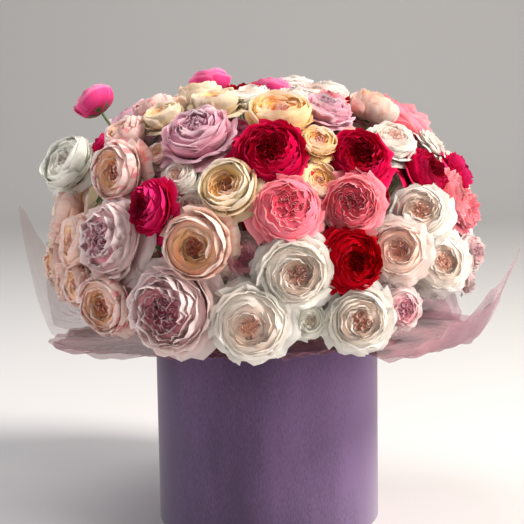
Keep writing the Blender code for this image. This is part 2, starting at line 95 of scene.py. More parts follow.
class TreeWriter:
    """Writes nodes and their links into one node tree."""

    def __init__(self, tree: bpy.types.NodeTree) -> None:
        """Takes the tree that it writes into."""
        self.tree = tree

    def add(self, kind: str, values: dict | None = None, **settings: object) -> bpy.types.Node:
        """Adds a node.

        Args:
            kind: The node's type.
            values: What its inputs take.
            settings: The node's own properties.

        Returns:
            The node.
        """
        node = self.tree.nodes.new(kind)
        for name, value in settings.items():
            setattr(node, name, value)
        fill(node, values or {})
        return node

    def out(self, kind: str, values: dict | None = None, **settings: object) -> Socket:
        """The first output of a new node."""
        return self.add(kind, values, **settings).outputs[0]

    def math(self, operation: str, *values: Value) -> Socket:
        """The result of a Math node on these values."""
        return self.out("ShaderNodeMath", dict(enumerate(values)), operation=operation)

    def times(self, first: Value, second: Value) -> Socket:
        """The product of two values."""
        return self.math("MULTIPLY", first, second)

    def varied(self, value: Socket, amount: float, base: Value) -> Socket:
        """The base with a change of the amount in all as the value goes from 0 to 1."""
        return self.math("MULTIPLY_ADD", self.math("SUBTRACT", value, 0.5), amount, base)

    def ramp(self, value: Socket, low: Value, high: Value, least: float = 0.0, most: float = 1.0) -> Socket:
        """A smooth step from least to most as the value goes from low to high."""
        values = {"Value": value, "From Min": low, "From Max": high, "To Min": least, "To Max": most}
        return self.out("ShaderNodeMapRange", values, interpolation_type="SMOOTHSTEP")

    def mix(self, share: Value, first: Socket, second: Socket, blend: str = "MIX") -> Socket:
        """Two colours mixed by a share of the second."""
        values = {0: share, 6: first, 7: second}
        return self.add("ShaderNodeMix", values, data_type="RGBA", blend_type=blend).outputs[2]

    def noise(self, vector: Socket, scale: Value, detail: float = 2.0) -> Socket:
        """A noise value from 0 to 1."""
        return self.out("ShaderNodeTexNoise", {"Vector": vector, "Scale": scale, "Detail": detail})

    def attribute(self, name: str) -> Socket:
        """A mesh attribute's number, in a material."""
        return self.add("ShaderNodeAttribute", attribute_name=name).outputs["Fac"]

    def named(self, name: str, kind: str = "FLOAT") -> Socket:
        """A mesh attribute's number, in a geometry tree."""
        return self.out("GeometryNodeInputNamedAttribute", {"Name": name}, data_type=kind)

    def vector(self, x: Value, y: Value, z: Value) -> Socket:
        """Three numbers as one vector."""
        return self.out("ShaderNodeCombineXYZ", {0: x, 1: y, 2: z})

    def vector_math(self, operation: str, first: Socket, values: dict) -> Socket:
        """The result of a Vector Math node."""
        return self.out("ShaderNodeVectorMath", {0: first, **values}, operation=operation)


def new_group(kind: str, name: str, inputs: dict, outputs: dict[str, str]
              ) -> tuple[TreeWriter, bpy.types.bpy_prop_collection, bpy.types.Node]:
    """Makes an empty node group.

    Args:
        kind: The tree's type.
        name: The group's name.
        inputs: Each input's name with its first value, or with its socket's kind where it has none.
        outputs: Each output's name with its socket's kind.

    Returns:
        A writer for the group, its inputs' sockets and its output node.
    """
    group = bpy.data.node_groups.new(name, kind)
    for label, value in inputs.items():
        socket_type = SOCKET_OF.get(type(value), value)
        made = group.interface.new_socket(label, in_out="INPUT", socket_type=socket_type)
        if socket_type is not value:
            made.default_value = value
    for label, socket_type in outputs.items():
        group.interface.new_socket(label, in_out="OUTPUT", socket_type=socket_type)
    writer = TreeWriter(group)
    return writer, writer.add("NodeGroupInput").outputs, writer.add("NodeGroupOutput")


# Finishes


@cache
def petal_tint() -> bpy.types.NodeTree:
    """Builds the petals' colour from heart to edge, with veins, blush streaks, changes between petals, painted shade
    towards their bases and a painted highlight on their rims.

    Returns:
        The shader group.
    """
    inputs = dict.fromkeys(("Heart", "Inner", "Outer", "Edge", "Back", "Deep"), WHITE)
    inputs |= dict.fromkeys(("Heart End", "Edge Share", "Back Share", "Deep Share", "Streaks"), 0.5)
    inputs["Roughness"] = 0.6
    w, given, result = new_group("ShaderNodeTree", "Petal tint", inputs, TINT_OUTPUTS)
    along, across, ring, chance, reverse = map(w.attribute, ("along", "across", "ring", "chance", "reverse"))
    own = w.times(chance, 37.0)

    def drawn(wide: float, tall: float, scale: float, detail: float) -> Socket:
        """A noise of the petal's own, in shares of its width and height."""
        return w.noise(w.vector(w.times(across, wide), w.times(along, tall), own), scale, detail)

    veins = drawn(9.0, 1.3, 1.6, 3.0)
    near = w.varied(w.noise(w.add("ShaderNodeTexCoord").outputs["Object"], 70.0), 0.25, ring)
    near = w.math("SUBTRACT", near, w.times(w.math("SUBTRACT", chance, 0.5), 0.10))
    heart_end = given["Heart End"]
    colour = w.mix(w.ramp(near, w.times(heart_end, 0.35), heart_end), given["Heart"], given["Inner"])
    colour = w.mix(w.ramp(near, 0.45, 0.85), colour, given["Outer"])
    back = w.times(w.times(reverse, given["Back Share"]), w.ramp(ring, 0.35, 0.7))
    colour = w.mix(back, colour, given["Back"])
    # Painted highlight: the petals' thin rims are lightened towards the Edge colour by the rim highlight share. The
    # highlight is weaker in the heart.
    side = w.math("POWER", w.math("ABSOLUTE", across), 2.0)
    rim = w.ramp(w.math("MAXIMUM", along, w.times(side, 0.97)), 0.80, 1.0)
    edge = w.times(rim, w.times(given["Edge Share"], w.ramp(ring, 0.1, 0.5, 0.4)))
    colour = w.mix(edge, colour, given["Edge"])
    streak = w.times(w.ramp(drawn(2.4, 0.9, 1.5, 1.5), 0.48, 0.66), given["Streaks"])
    streak = w.times(streak, w.times(w.ramp(ring, 0.4, 0.8), w.ramp(along, 0.2, 0.7)))
    colour = w.mix(streak, colour, given["Deep"])
    # Painted shade: each petal darkens towards its base, down in the bloom's recesses, to the Deep colour by the base
    # shade share.
    base = w.times(w.ramp(along, 0.75, 0.15), given["Deep Share"])
    colour = w.mix(base, colour, given["Deep"])
    light = w.varied(veins, 0.16, w.varied(chance, 0.12, 1.0))
    fill(result, {
        "Color": w.mix(1.0, colour, w.vector(light, light, light), "MULTIPLY"),
        "Roughness": w.varied(veins, 0.3, given["Roughness"]),
        "Height": w.math("MULTIPLY_ADD", drawn(30.0, 4.0, 1.4, 2.0), 0.35, veins),
    })
    return w.tree


@cache
def grain() -> bpy.types.NodeTree:
    """Builds two tones mottled over the object, with its roughness and a fine height.

    Returns:
        The shader group.
    """
    inputs = {"Light": WHITE, "Dark": GREY, "Patches": 30.0, "Grain Size": 600.0, "Stretch": 1.0, "Roughness": 0.7}
    w, given, result = new_group("ShaderNodeTree", "Grain", inputs, TINT_OUTPUTS)
    place = w.add("ShaderNodeSeparateXYZ", {0: w.add("ShaderNodeTexCoord").outputs["Object"]}).outputs
    stretched = w.vector(place[0], place[1], w.times(place[2], given["Stretch"]))
    fine = w.noise(stretched, given["Grain Size"])
    share = w.ramp(w.varied(fine, 0.5, w.noise(stretched, given["Patches"], 3.0)), 0.30, 0.72)
    fill(result, {
        "Color": w.mix(share, given["Dark"], given["Light"]),
        "Roughness": w.varied(fine, 0.25, given["Roughness"]),
        "Height": fine,
    })
    return w.tree


def plain_material(name: str, values: dict) -> bpy.types.Material:
    """Makes a plain material.

    Args:
        name: The material's name.
        values: What the inputs of its Principled shader take.

    Returns:
        The material.
    """
    material = bpy.data.materials.new(name)
    material.use_nodes = True
    fill(material.node_tree.nodes["Principled BSDF"], values)
    return material


def finished(finish: "PetalFinish | GrainFinish", name: str, effect: bpy.types.NodeTree, values: dict
             ) -> bpy.types.Material:
    """Makes a material whose colour, roughness and height come from an effect.

    Args:
        finish: The finish, whose fields give the effect's inputs of the same names.
        name: The material's name.
        effect: The shader group.
        values: What the other inputs of the Principled shader take.

    Returns:
        The material.
    """
    material = plain_material(name, values)
    w = TreeWriter(material.node_tree)
    group = w.add("ShaderNodeGroup", node_tree=effect)
    for item in fields(finish):
        label = item.name.replace("_", " ").title()
        if label in group.inputs:
            value = getattr(finish, item.name)
            fill(group, {label: tone(value) if isinstance(value, str) else value})
    color, roughness, height = group.outputs
    bump = {"Strength": finish.bump, "Distance": finish.distance, "Height": height}
    fed = {"Base Color": color, "Roughness": roughness, "Normal": w.out("ShaderNodeBump", bump)}
    fill(material.node_tree.nodes["Principled BSDF"], fed)
    return material


@dataclass(frozen=True)
class PetalFinish:
    """The colours of one variety's petals, from the heart of a bloom to its outer petals, with a painted highlight on
    their rims and painted shade towards their bases.
    """

    name: str
    heart: str
    inner: str
    outer: str
    # The edge colour is a painted highlight on the petals' rims.
    edge: str
    back: str
    # The deep colour draws the stripes, and the painted shade towards the petals' bases.
    deep: str
    heart_end: float = 0.40
    edge_share: float = 0.5
    back_share: float = 0.4
    # How far the painted shade darkens the petals' bases.
    deep_share: float = 0.5
    streaks: float = 0.0
    roughness: float = 0.6
    gloss: float = 0.25
    sheen: float = 0.08
    sheen_roughness: float = 0.5
    depth: float = 0.5
    depth_colour: tuple[float, float, float] = (1.0, 0.85, 0.8)
    depth_length: float = 0.005
    bump: float = 0.30
    distance: float = 0.0005

    def build(self) -> bpy.types.Material:
        """Makes the variety's material.

        Returns:
            The material.
        """
        return finished(self, f"petal_{self.name}", petal_tint(), {
            "Specular IOR Level": self.gloss,
            "Subsurface Weight": self.depth,
            "Subsurface Radius": self.depth_colour,
            "Subsurface Scale": self.depth_length,
            "Sheen Weight": self.sheen,
            "Sheen Roughness": self.sheen_roughness,
        })


MATT = {"gloss": 0.0, "sheen": 0.0, "depth": 0.0}
# Each edge colour is a painted highlight on the rims; each deep colour draws the stripes and the painted shade
# towards the petals' bases.
PETALS = {
    finish.name: finish
    for finish in (
        PetalFinish("white", "E6A488", "F2DCCC", "F0EBE0", "F5F2EA", "E6E4D4", "A45E46", 0.40, 0.5, 0.5, 0.5),
        PetalFinish("ivory", "E8D4BC", "F2ECDC", "F2F0E4", "F6F4EC", "E6E8D6", "CCC6A6", 0.40, 0.5, 0.5, 0.35),
        PetalFinish("blush", "E09478", "F4CAB6", "F4DCD0", "F7E8E0", "EED2C6", "CE8068", 0.42, 0.5, 0.4, 0.35),
        PetalFinish("pink", "C25A76", "DE949E", "EFD4D0", "F5E6E0", "EAD0CC", "B4506C", 0.48, 0.5, 0.5, 0.45),
        PetalFinish("mauve", "B85680", "D2849C", "DE9FB0", "ECC2CC", "D69CAC", "AC4A70", 0.50, 0.5, 0.4, 0.4),
        PetalFinish("peach", "DC5A0C", "F5C288", "F5D2BE", "F8E0D2", "F2C2B4", "E2724E", 0.38, 0.4, 0.5, 0.35, 0.4),
        PetalFinish("striped", "DE6410", "F4BA80", "F6D8C8", "F9E4DA", "F4C8BE", "E6606C", 0.40, 0.4, 0.6, 0.3, 0.8),
        PetalFinish("cream", "D66C10", "F0B662", "F4DCB2", "F6E6CC", "F0DFC0", "E2984A", 0.42, 0.4, 0.5, 0.3),
        PetalFinish("yellow", "DE5A0C", "F5A844", "F7CE84", "F8DCA8", "F6D6A6", "EE9040", 0.42, 0.4, 0.5, 0.3),
        PetalFinish("coral", "D23A56", "F0647A", "F68696", "FBB2B4", "F2808E", "B02444", 0.48, 0.5, 0.4, 0.5,
                    gloss=0.1, depth=0.3),
        PetalFinish("hotpink", "A80842", "D41E60", "E43C80", "F68CB6", "E2357A", "94063A", 0.45, 0.7, 0.5, 0.7,
                    gloss=0.1, depth=0.2),
        PetalFinish("magenta", "74000C", "AC0626", "CE1652", "E84484", "DC2A72", "5C0006", 0.60, 0.3, 0.7, 0.45,
                    **MATT),
        PetalFinish("crimson", "780008", "AE0428", "C20C42", "DE3C68", "C41458", "5A0004", 0.52, 0.30, 0.6, 0.45,
                    **MATT),
        PetalFinish("red", "700004", "A6040E", "B2061A", "D02C3E", "AC041E", "500002", 0.52, 0.28, 0.5, 0.45,
                    **MATT),
    )
}


@dataclass(frozen=True)
class GrainFinish:
    """A matt finish of two tones with a fine grain."""

    name: str
    light: str
    dark: str
    patches: float
    grain_size: float
    stretch: float
    roughness: float
    bump: float
    distance: float
    sheen: float = 0.0
    alpha: float = 1.0
    sheen_roughness: float = 0.4

    def build(self) -> bpy.types.Material:
        """The material."""
        values = {"Sheen Weight": self.sheen, "Sheen Roughness": self.sheen_roughness, "Alpha": self.alpha}
        return finished(self, self.name, grain(), values)


VELVET = GrainFinish("velvet", "6C527A", "4A3656", 13.0, 900.0, 0.25, 0.85, 0.4, 0.0003, 0.6)
BOARD = GrainFinish("board", "A89A8C", "8C7E70", 40.0, 700.0, 1.0, 0.85, 0.3, 0.0003)
LINER = GrainFinish("liner", "B9BFBF", "A3ABAB", 25.0, 500.0, 1.0, 0.4, 0.15, 0.0002)
FOAM = GrainFinish("foam", "3E5C3C", "2A4429", 60.0, 1400.0, 1.0, 0.95, 0.8, 0.0008)
STEM_GREEN = GrainFinish("stem_green", "5E7444", "3E5228", 80.0, 900.0, 0.3, 0.6, 0.3, 0.0003)
FILM = GrainFinish("film", "CC949C", "A67886", 5.0, 40.0, 1.0, 0.28, 0.1, 0.0002, 0.0, 0.36)
CLEAR_FILM = replace(FILM, name="clear_film", alpha=0.16)


# Meshes


def new_mesh(name: str, points: Sequence[Sequence[float]], faces: Sequence = (), joins: int = 0) -> Mesh:
    """Makes a mesh of faces, of a line or of loose points.

    Args:
        name: The mesh's name.
        points: Its points.
        faces: The numbers of each face's points.
        joins: How many of the points, from the first, are joined to the next one.

    Returns:
        The mesh.
    """
    edges = [(i, (i + 1) % len(points)) for i in range(joins)]
    mesh = bpy.data.meshes.new(name)
    mesh.from_pydata([tuple(point) for point in points], edges, list(faces))
    return mesh


def add_numbers(mesh: Mesh, numbers: dict[str, Sequence], domain: str = "POINT", kind: str = "FLOAT") -> None:
    """Stores numbers on a mesh.

    Args:
        mesh: The mesh.
        numbers: Attribute name to its values.
        domain: What has one value each.
        kind: The values' data type.
    """
    for name, values in numbers.items():
        mesh.attributes.new(name, kind, domain).data.foreach_set("value", values)


def grid_faces(grid: np.ndarray, flipped: bool = False) -> list[list[int]]:
    """Makes a face of each cell of a grid of points, row by row.

    Args:
        grid: The points' numbers.
        flipped: Whether the faces look the other way.

    Returns:
        The numbers of each face's points.
    """
    corners = [grid[:-1, :-1], grid[1:, :-1], grid[1:, 1:], grid[:-1, 1:]]
    if flipped:
        corners[1:] = corners[:0:-1]
    return np.stack(corners, axis=-1).reshape(-1, 4).tolist()


def evaluated(mesh: Mesh, kind: str, settings: dict[str, object], inputs: dict[str, object] | None = None) -> Mesh:
    """Makes a plain mesh with one modifier.

    Args:
        mesh: The mesh that the modifier works on.
        kind: The modifier's type.
        settings: Its properties.
        inputs: Input name to value, where it is a Geometry Nodes tree. Each is set by its identifier.

    Returns:
        The mesh that comes out.
    """
    holder = bpy.data.objects.new("holder", mesh)
    bpy.context.scene.collection.objects.link(holder)
    modifier = holder.modifiers.new("Maker", kind)
    for name, value in settings.items():
        setattr(modifier, name, value)
    if inputs:
        for item in modifier.node_group.interface.items_tree:
            if item.in_out == "INPUT" and item.name in inputs:
                modifier[item.identifier] = inputs[item.name]
    bpy.context.view_layer.update()
    graph = bpy.context.evaluated_depsgraph_get()
    made = bpy.data.meshes.new_from_object(holder.evaluated_get(graph))
    bpy.data.objects.remove(holder, do_unlink=True)
    return made


def joined(name: str, meshes: Sequence[Mesh]) -> bpy.types.Object:
    """Makes one object of these meshes, in the scene.

    Args:
        name: The object's name.
        meshes: The meshes.

    Returns:
        The object.
    """
    objects = []
    for mesh in meshes:
        objects.append(bpy.data.objects.new(name, mesh))
        bpy.context.scene.collection.objects.link(objects[-1])
    if len(objects) > 1:
        with bpy.context.temp_override(active_object=objects[0], selected_editable_objects=objects):
            bpy.ops.object.join()
    objects[0].name = name
    objects[0].data.name = name
    return objects[0]


# Petals


FOOT = -0.55
SEED = 206
BASE_WIDTH = 0.30
BASE_REACH = 0.03
FIRST_BOW = 0.85
FULL_WIDTH_AT = 0.6
LIP_START = 0.68
LIP_LENGTH = 0.32
MOST_LIP = 1.2
CURL_FALL = 0.8
ROLL_FALL = 0.6
PETAL_THICKNESS = 0.014
SLOPE_STEP = 0.01
LEAST_LENGTH = 1e-9


@dataclass(frozen=True)
class PetalRing:
    """One ring of a bloom's petals. Lengths are shares of the bloom's radius, heights from its foot."""

    count: int
    reach: float
    rise: float
    shoulder: float
    crest: float
    wrap: float
    flat: float = 0.0
    drop: float = 0.17
    tip_power: float = 3.4
    point: float = 0.0
    curl: float = 0.0
    roll: float = 0.0
    ruffle: float = 0.03
    spoon: float = 0.03
    spiral: float = 0.05
    columns: int = 6
    rows: int = 4

    def surface(self, across: np.ndarray, share: np.ndarray) -> np.ndarray:
        """Sets out points of the petal's inner face.

        Args:
            across: From -1 to 1 across the petal.
            share: From 0 at its base to 1 at its tip.

        Returns:
            The points, with the petal standing towards +X.
        """
        side = np.abs(across)
        v = share * (1 - self.drop * side**self.tip_power + self.point * (1 - side) ** 2)
        rest = 1 - v
        wide = 3 * rest**2 * v * self.shoulder * FIRST_BOW + 3 * rest * v**2 * self.shoulder + v**3 * self.reach
        wide = wide + BASE_REACH * rest**3
        high = 3 * rest**2 * v * BASE_REACH + 3 * rest * v**2 * self.crest + v**3 * self.rise
        opened = np.clip(share / FULL_WIDTH_AT, 0, 1)
        width = BASE_WIDTH + (1 - BASE_WIDTH) * opened**2 * (3 - 2 * opened)
        turn = across * self.wrap * width
        wide = wide + self.spoon * (1 - across**2) * np.sin(math.pi * share)
        wide = wide + self.spiral * across * share
        lip = np.clip((share - LIP_START) / LIP_LENGTH, 0, MOST_LIP) ** 2
        wide = wide + self.curl * lip + self.roll * side**3 * share**2
        high = high - self.curl * CURL_FALL * lip - self.roll * ROLL_FALL * side**3 * share**2
        wave = self.ruffle * share**2
        wide = wide + wave * np.sin(math.pi * (2.3 * across + 0.3))
        high = high + wave * np.cos(math.pi * (1.7 * across + 0.1))
        x = wide * (np.cos(turn) * (1 - self.flat) + self.flat)
        y = wide * (np.sin(turn) * (1 - self.flat) + turn * self.flat)
        return np.stack([x, y, high], axis=-1)

    def mesh(self, name: str) -> Mesh:
        """Makes a closed thin blade whose two faces meet at its edge.

        Args:
            name: The mesh's name.

        Returns:
            The mesh, which knows each point's place on the petal and which face is its back.
        """
        across, share = np.meshgrid(np.linspace(-1, 1, self.columns + 1), np.linspace(0, 1, self.rows + 1))
        front_face = self.surface(across, share)
        sideways = self.surface(across + SLOPE_STEP, share) - self.surface(across - SLOPE_STEP, share)
        upwards = self.surface(across, share + SLOPE_STEP) - self.surface(across, share - SLOPE_STEP)
        normal = np.cross(sideways, upwards)
        normal = normal / np.maximum(np.linalg.norm(normal, axis=-1, keepdims=True), LEAST_LENGTH)
        back_face = front_face + normal * PETAL_THICKNESS
        inside = (slice(1, -1), slice(1, -1))
        front = np.arange(share.size).reshape(share.shape)
        back = front.copy()
        back[inside] = front.size + np.arange(back[inside].size).reshape(back[inside].shape)
        points = np.concatenate([front_face.reshape(-1, 3), back_face[inside].reshape(-1, 3)])
        faces = grid_faces(front) + grid_faces(back, flipped=True)
        mesh = new_mesh(name, points.tolist(), faces)
        along, sides = (np.concatenate([part.ravel(), part[inside].ravel()]) for part in (share, across))
        add_numbers(mesh, {"along": along.astype(np.float32), "across": sides.astype(np.float32)})
        reverse = np.repeat(np.float32([0.0, 1.0]), len(faces) // 2)
        add_numbers(mesh, {"reverse": reverse}, "FACE")
        ends = np.zeros(len(mesh.edges) * 2, np.int32)
        mesh.edges.foreach_get("vertices", ends)
        rim = np.concatenate([front[0], front[-1], front[:, 0], front[:, -1]])
        on_rim = np.isin(ends.reshape(-1, 2), rim).all(axis=1)
        add_numbers(mesh, {"sharp_edge": on_rim}, "EDGE", "BOOLEAN")
        return mesh


@dataclass(frozen=True)
class Seat:
    """Where a petal stands in its bloom: its place, its shape's number, its turn, and its distance outwards."""

    place: tuple[float, float, float]
    petal: int
    turn: float
    ring: float


@dataclass(frozen=True)
class Heart:
    """The small folded petals at a bloom's middle, which nest round its centre and a few points beside it."""

    folds: int
    spread: float
    size: float
    rise: float
    nests: int = 3
    depth: float = 0.30
    sink: float = 0.085
    ways: tuple[float, ...] = (-1.05, 1.05, math.pi)
    turn_play: tuple[float, float] = (-0.15, 0.15)
    spread_play: tuple[float, float] = (0.85, 1.15)
    facing_play: tuple[float, float] = (-0.25, 0.25)
    height_play: tuple[float, float] = (-0.04, 0.02)

    def rings(self) -> tuple[PetalRing, ...]:
        """Makes the nested petals' shapes.

        Returns:
            One for each nest, from the smallest.
        """
        return tuple(
            PetalRing(2, reach, self.depth, reach * 1.15, self.depth * 0.55, 0.95,
                      drop=0.14, ruffle=0.012, spoon=0.01, spiral=0.01, columns=4, rows=3)
            for reach in [self.size * (nest + 1) / self.nests for nest in range(self.nests)]
        )

    def seats(self, draws: random.Random) -> list[Seat]:
        """Sets out the nested petals.

        Args:
            draws: The bloom's random draws.

        Returns:
            Their seats.
        """
        made = []
        start = draws.uniform(0, math.tau)
        for fold in range(self.folds + 1):
            turn = start + math.tau * (fold + draws.uniform(*self.turn_play)) / self.folds
            out = self.spread * draws.uniform(*self.spread_play) * (fold < self.folds)
            x, y = out * math.cos(turn), out * math.sin(turn)
            for nest, ring in enumerate(self.rings()):
                for way in self.ways:
                    facing = turn + math.pi + way + draws.uniform(*self.facing_play)
                    height = FOOT + self.rise - self.depth + draws.uniform(*self.height_play)
                    tip = math.hypot(x + ring.reach * math.cos(facing), y + ring.reach * math.sin(facing))
                    made.append(Seat((x, y, height), nest, facing, tip))
        return made


@dataclass(frozen=True)
class Form:
    """The form of an open rose: its heart, and the rings of petals round it."""

    heart: Heart
    rings: tuple[PetalRing, ...]
    ruffle: float = 0.14
    sink: float = 0.09
    steps: int = 20
    mound_foot: tuple[tuple[float, float], ...] = ((0.80, 0.26), (0.45, 0.17), (0.0, 0.08))
    turn_play: tuple[float, float] = (-0.14, 0.14)

    def petals(self) -> tuple[PetalRing, ...]:
        """Every petal shape of the form, the heart's first."""
        return (*self.heart.rings(), *self.rings)

    def mound_profile(self) -> list[tuple[float, float]]:
        """Sets out the mound's outline, a little below the petals' rims.

        Returns:
            (radius, height) of its points, from its top to its foot.
        """
        level = self.heart.rise - self.heart.sink
        rims = [(ring.reach, ring.rise - self.sink * (1.0 + ring.reach)) for ring in self.rings[:-2]]
        return [(0.0, level), (self.heart.spread + self.heart.size, level), *rims, *self.mound_foot]

    def mound(self, name: str) -> Mesh:
        """Makes the closed mound of packed petals that shows between the rims.

        Args:
            name: The mesh's name.

        Returns:
            The mesh.
        """
        top, *levels, bottom = self.mound_profile()
        turns = [math.tau * i / self.steps for i in range(self.steps)]
        points = [(0.0, 0.0, top[1])]
        points += [
            (reach * math.cos(turn), reach * math.sin(turn), height)
            for reach, height in levels
            for turn in turns
        ]
        points.append((0.0, 0.0, bottom[1]))
        last = len(points) - 1
        foot = last - self.steps
        faces = []
        for i in range(self.steps):
            after = (i + 1) % self.steps
            faces.append((0, 1 + i, 1 + after))
            faces.append((last, foot + after, foot + i))
            for start in range(1, foot, self.steps):
                faces.append((start + i, start + self.steps + i, start + self.steps + after, start + after))
        mesh = new_mesh(name, points, faces)
        reaches = [math.hypot(x, y) for x, y, _ in points]
        # An along of 0.5 gives the mound part of the painted base shade, so it shows darker between the petals' rims.
        add_numbers(mesh, {"ring": reaches, "along": [0.5] * len(points), "across": [0.0] * len(points)})
        return mesh

    def seats(self, draws: random.Random) -> list[Seat]:
        """Sets out every petal, and the mound.

        Args:
            draws: The bloom's random draws.

        Returns:
            Their seats.
        """
        made = self.heart.seats(draws)
        made.append(Seat((0.0, 0.0, FOOT), len(self.petals()), 0.0, 0.0))
        for number, ring in enumerate(self.rings, self.heart.nests):
            start = draws.uniform(0, math.tau)
            for i in range(ring.count):
                turn = start + math.tau * (i + draws.uniform(*self.turn_play)) / ring.count
                made.append(Seat((0.0, 0.0, FOOT), number, turn, ring.reach))
        return made


class BloomForm(Enum):
    """The forms that the roses open in."""

    GARDEN = Form(Heart(6, 0.22, 0.14, 0.97), (
        PetalRing(5, 0.37, 0.98, 0.44, 0.62, 0.92),
        PetalRing(5, 0.43, 1.00, 0.50, 0.62, 0.90),
        PetalRing(5, 0.50, 1.01, 0.56, 0.62, 0.88),
        PetalRing(5, 0.58, 1.00, 0.63, 0.63, 0.88),
        PetalRing(5, 0.67, 0.96, 0.70, 0.66, 0.86, curl=0.03, columns=8, rows=5),
        PetalRing(5, 0.78, 0.88, 0.78, 0.70, 0.84, 0.1, point=0.03, curl=0.05, columns=8, rows=5),
        PetalRing(5, 0.90, 0.74, 0.86, 0.68, 0.82, 0.2, point=0.05, curl=0.07, ruffle=0.04, columns=8, rows=6),
        PetalRing(6, 1.00, 0.50, 0.91, 0.56, 0.74, 0.3, point=0.08, curl=0.06, ruffle=0.05, columns=8, rows=6),
        PetalRing(6, 1.16, 0.16, 0.98, 0.30, 0.70, 0.3, point=0.06, curl=0.06, ruffle=0.05, columns=8, rows=5),
    ))
    CUP = Form(Heart(5, 0.18, 0.125, 0.83), (
        PetalRing(5, 0.33, 0.86, 0.38, 0.55, 0.95),
        PetalRing(5, 0.42, 0.91, 0.48, 0.56, 0.92),
        PetalRing(5, 0.51, 0.97, 0.60, 0.58, 0.90),
        PetalRing(5, 0.62, 1.04, 0.76, 0.62, 0.90, ruffle=0.02, columns=8, rows=5),
        PetalRing(5, 0.76, 1.09, 0.92, 0.66, 0.92, curl=0.02, ruffle=0.02, columns=10, rows=6),
        PetalRing(5, 0.90, 1.02, 1.00, 0.66, 0.90, curl=0.04, ruffle=0.02, columns=10, rows=6),
        PetalRing(5, 1.02, 0.62, 0.97, 0.58, 0.85, 0.1, point=0.04, curl=0.06, ruffle=0.02, columns=10, rows=6),
        PetalRing(6, 1.16, 0.16, 0.98, 0.30, 0.70, 0.3, point=0.06, curl=0.06, ruffle=0.04, columns=6, rows=5),
    ))
    ROSETTE = Form(Heart(6, 0.27, 0.17, 0.98, sink=0.11), (
        PetalRing(7, 0.47, 1.00, 0.52, 0.62, 0.68, ruffle=0.05),
        PetalRing(7, 0.55, 1.00, 0.60, 0.62, 0.68, ruffle=0.05),
        PetalRing(7, 0.64, 0.97, 0.68, 0.64, 0.68, ruffle=0.05),
        PetalRing(6, 0.73, 0.92, 0.76, 0.66, 0.76, ruffle=0.05, columns=8, rows=5),
        PetalRing(6, 0.83, 0.84, 0.85, 0.68, 0.76, curl=0.03, ruffle=0.04, columns=8, rows=5),
        PetalRing(6, 0.94, 0.68, 0.92, 0.62, 0.76, curl=0.05, ruffle=0.05, columns=8, rows=6),
        PetalRing(6, 1.02, 0.44, 0.94, 0.48, 0.74, curl=0.05, ruffle=0.05, columns=8, rows=6),
        PetalRing(6, 1.16, 0.14, 0.98, 0.28, 0.70, 0.3, point=0.04, curl=0.05, ruffle=0.06, columns=6, rows=5),
    ), ruffle=0.15)
    GOBLET = Form(Heart(3, 0.08, 0.10, 1.00, 3), (
        PetalRing(4, 0.22, 1.06, 0.36, 0.62, 1.10, ruffle=0.02),
        PetalRing(4, 0.34, 1.12, 0.52, 0.64, 1.05, ruffle=0.02),
        PetalRing(5, 0.47, 1.15, 0.70, 0.64, 0.92, ruffle=0.02),
        PetalRing(5, 0.60, 1.16, 0.86, 0.64, 0.92, ruffle=0.02, columns=8, rows=6),
        PetalRing(5, 0.76, 1.12, 0.98, 0.62, 0.90, curl=0.02, ruffle=0.02, columns=10, rows=6),
        PetalRing(5, 0.92, 0.94, 1.04, 0.56, 0.88, curl=0.05, ruffle=0.02, columns=10, rows=6),
    ))


SEPAL = PetalRing(5, 0.72, 0.26, 0.52, 0.00, 0.50, 0.2, drop=0.42, tip_power=1.0, ruffle=0.02, columns=2, rows=4)
SEPAL_SEATS = 5
LEAN_PLAY = (-0.03, 0.03)
BLOOM_PLAY = {"Lean Spread": 0.07, "Size Spread": 0.055, "Ruffle Scale": 2.4, "Crinkle": 0.045, "Crinkle Scale": 6.5}
FORM_OF = dict.fromkeys(("white", "blush", "mauve"), BloomForm.GARDEN)
FORM_OF |= dict.fromkeys(("ivory", "cream", "yellow", "peach", "striped"), BloomForm.CUP)
FORM_OF["hotpink"] = BloomForm.GOBLET


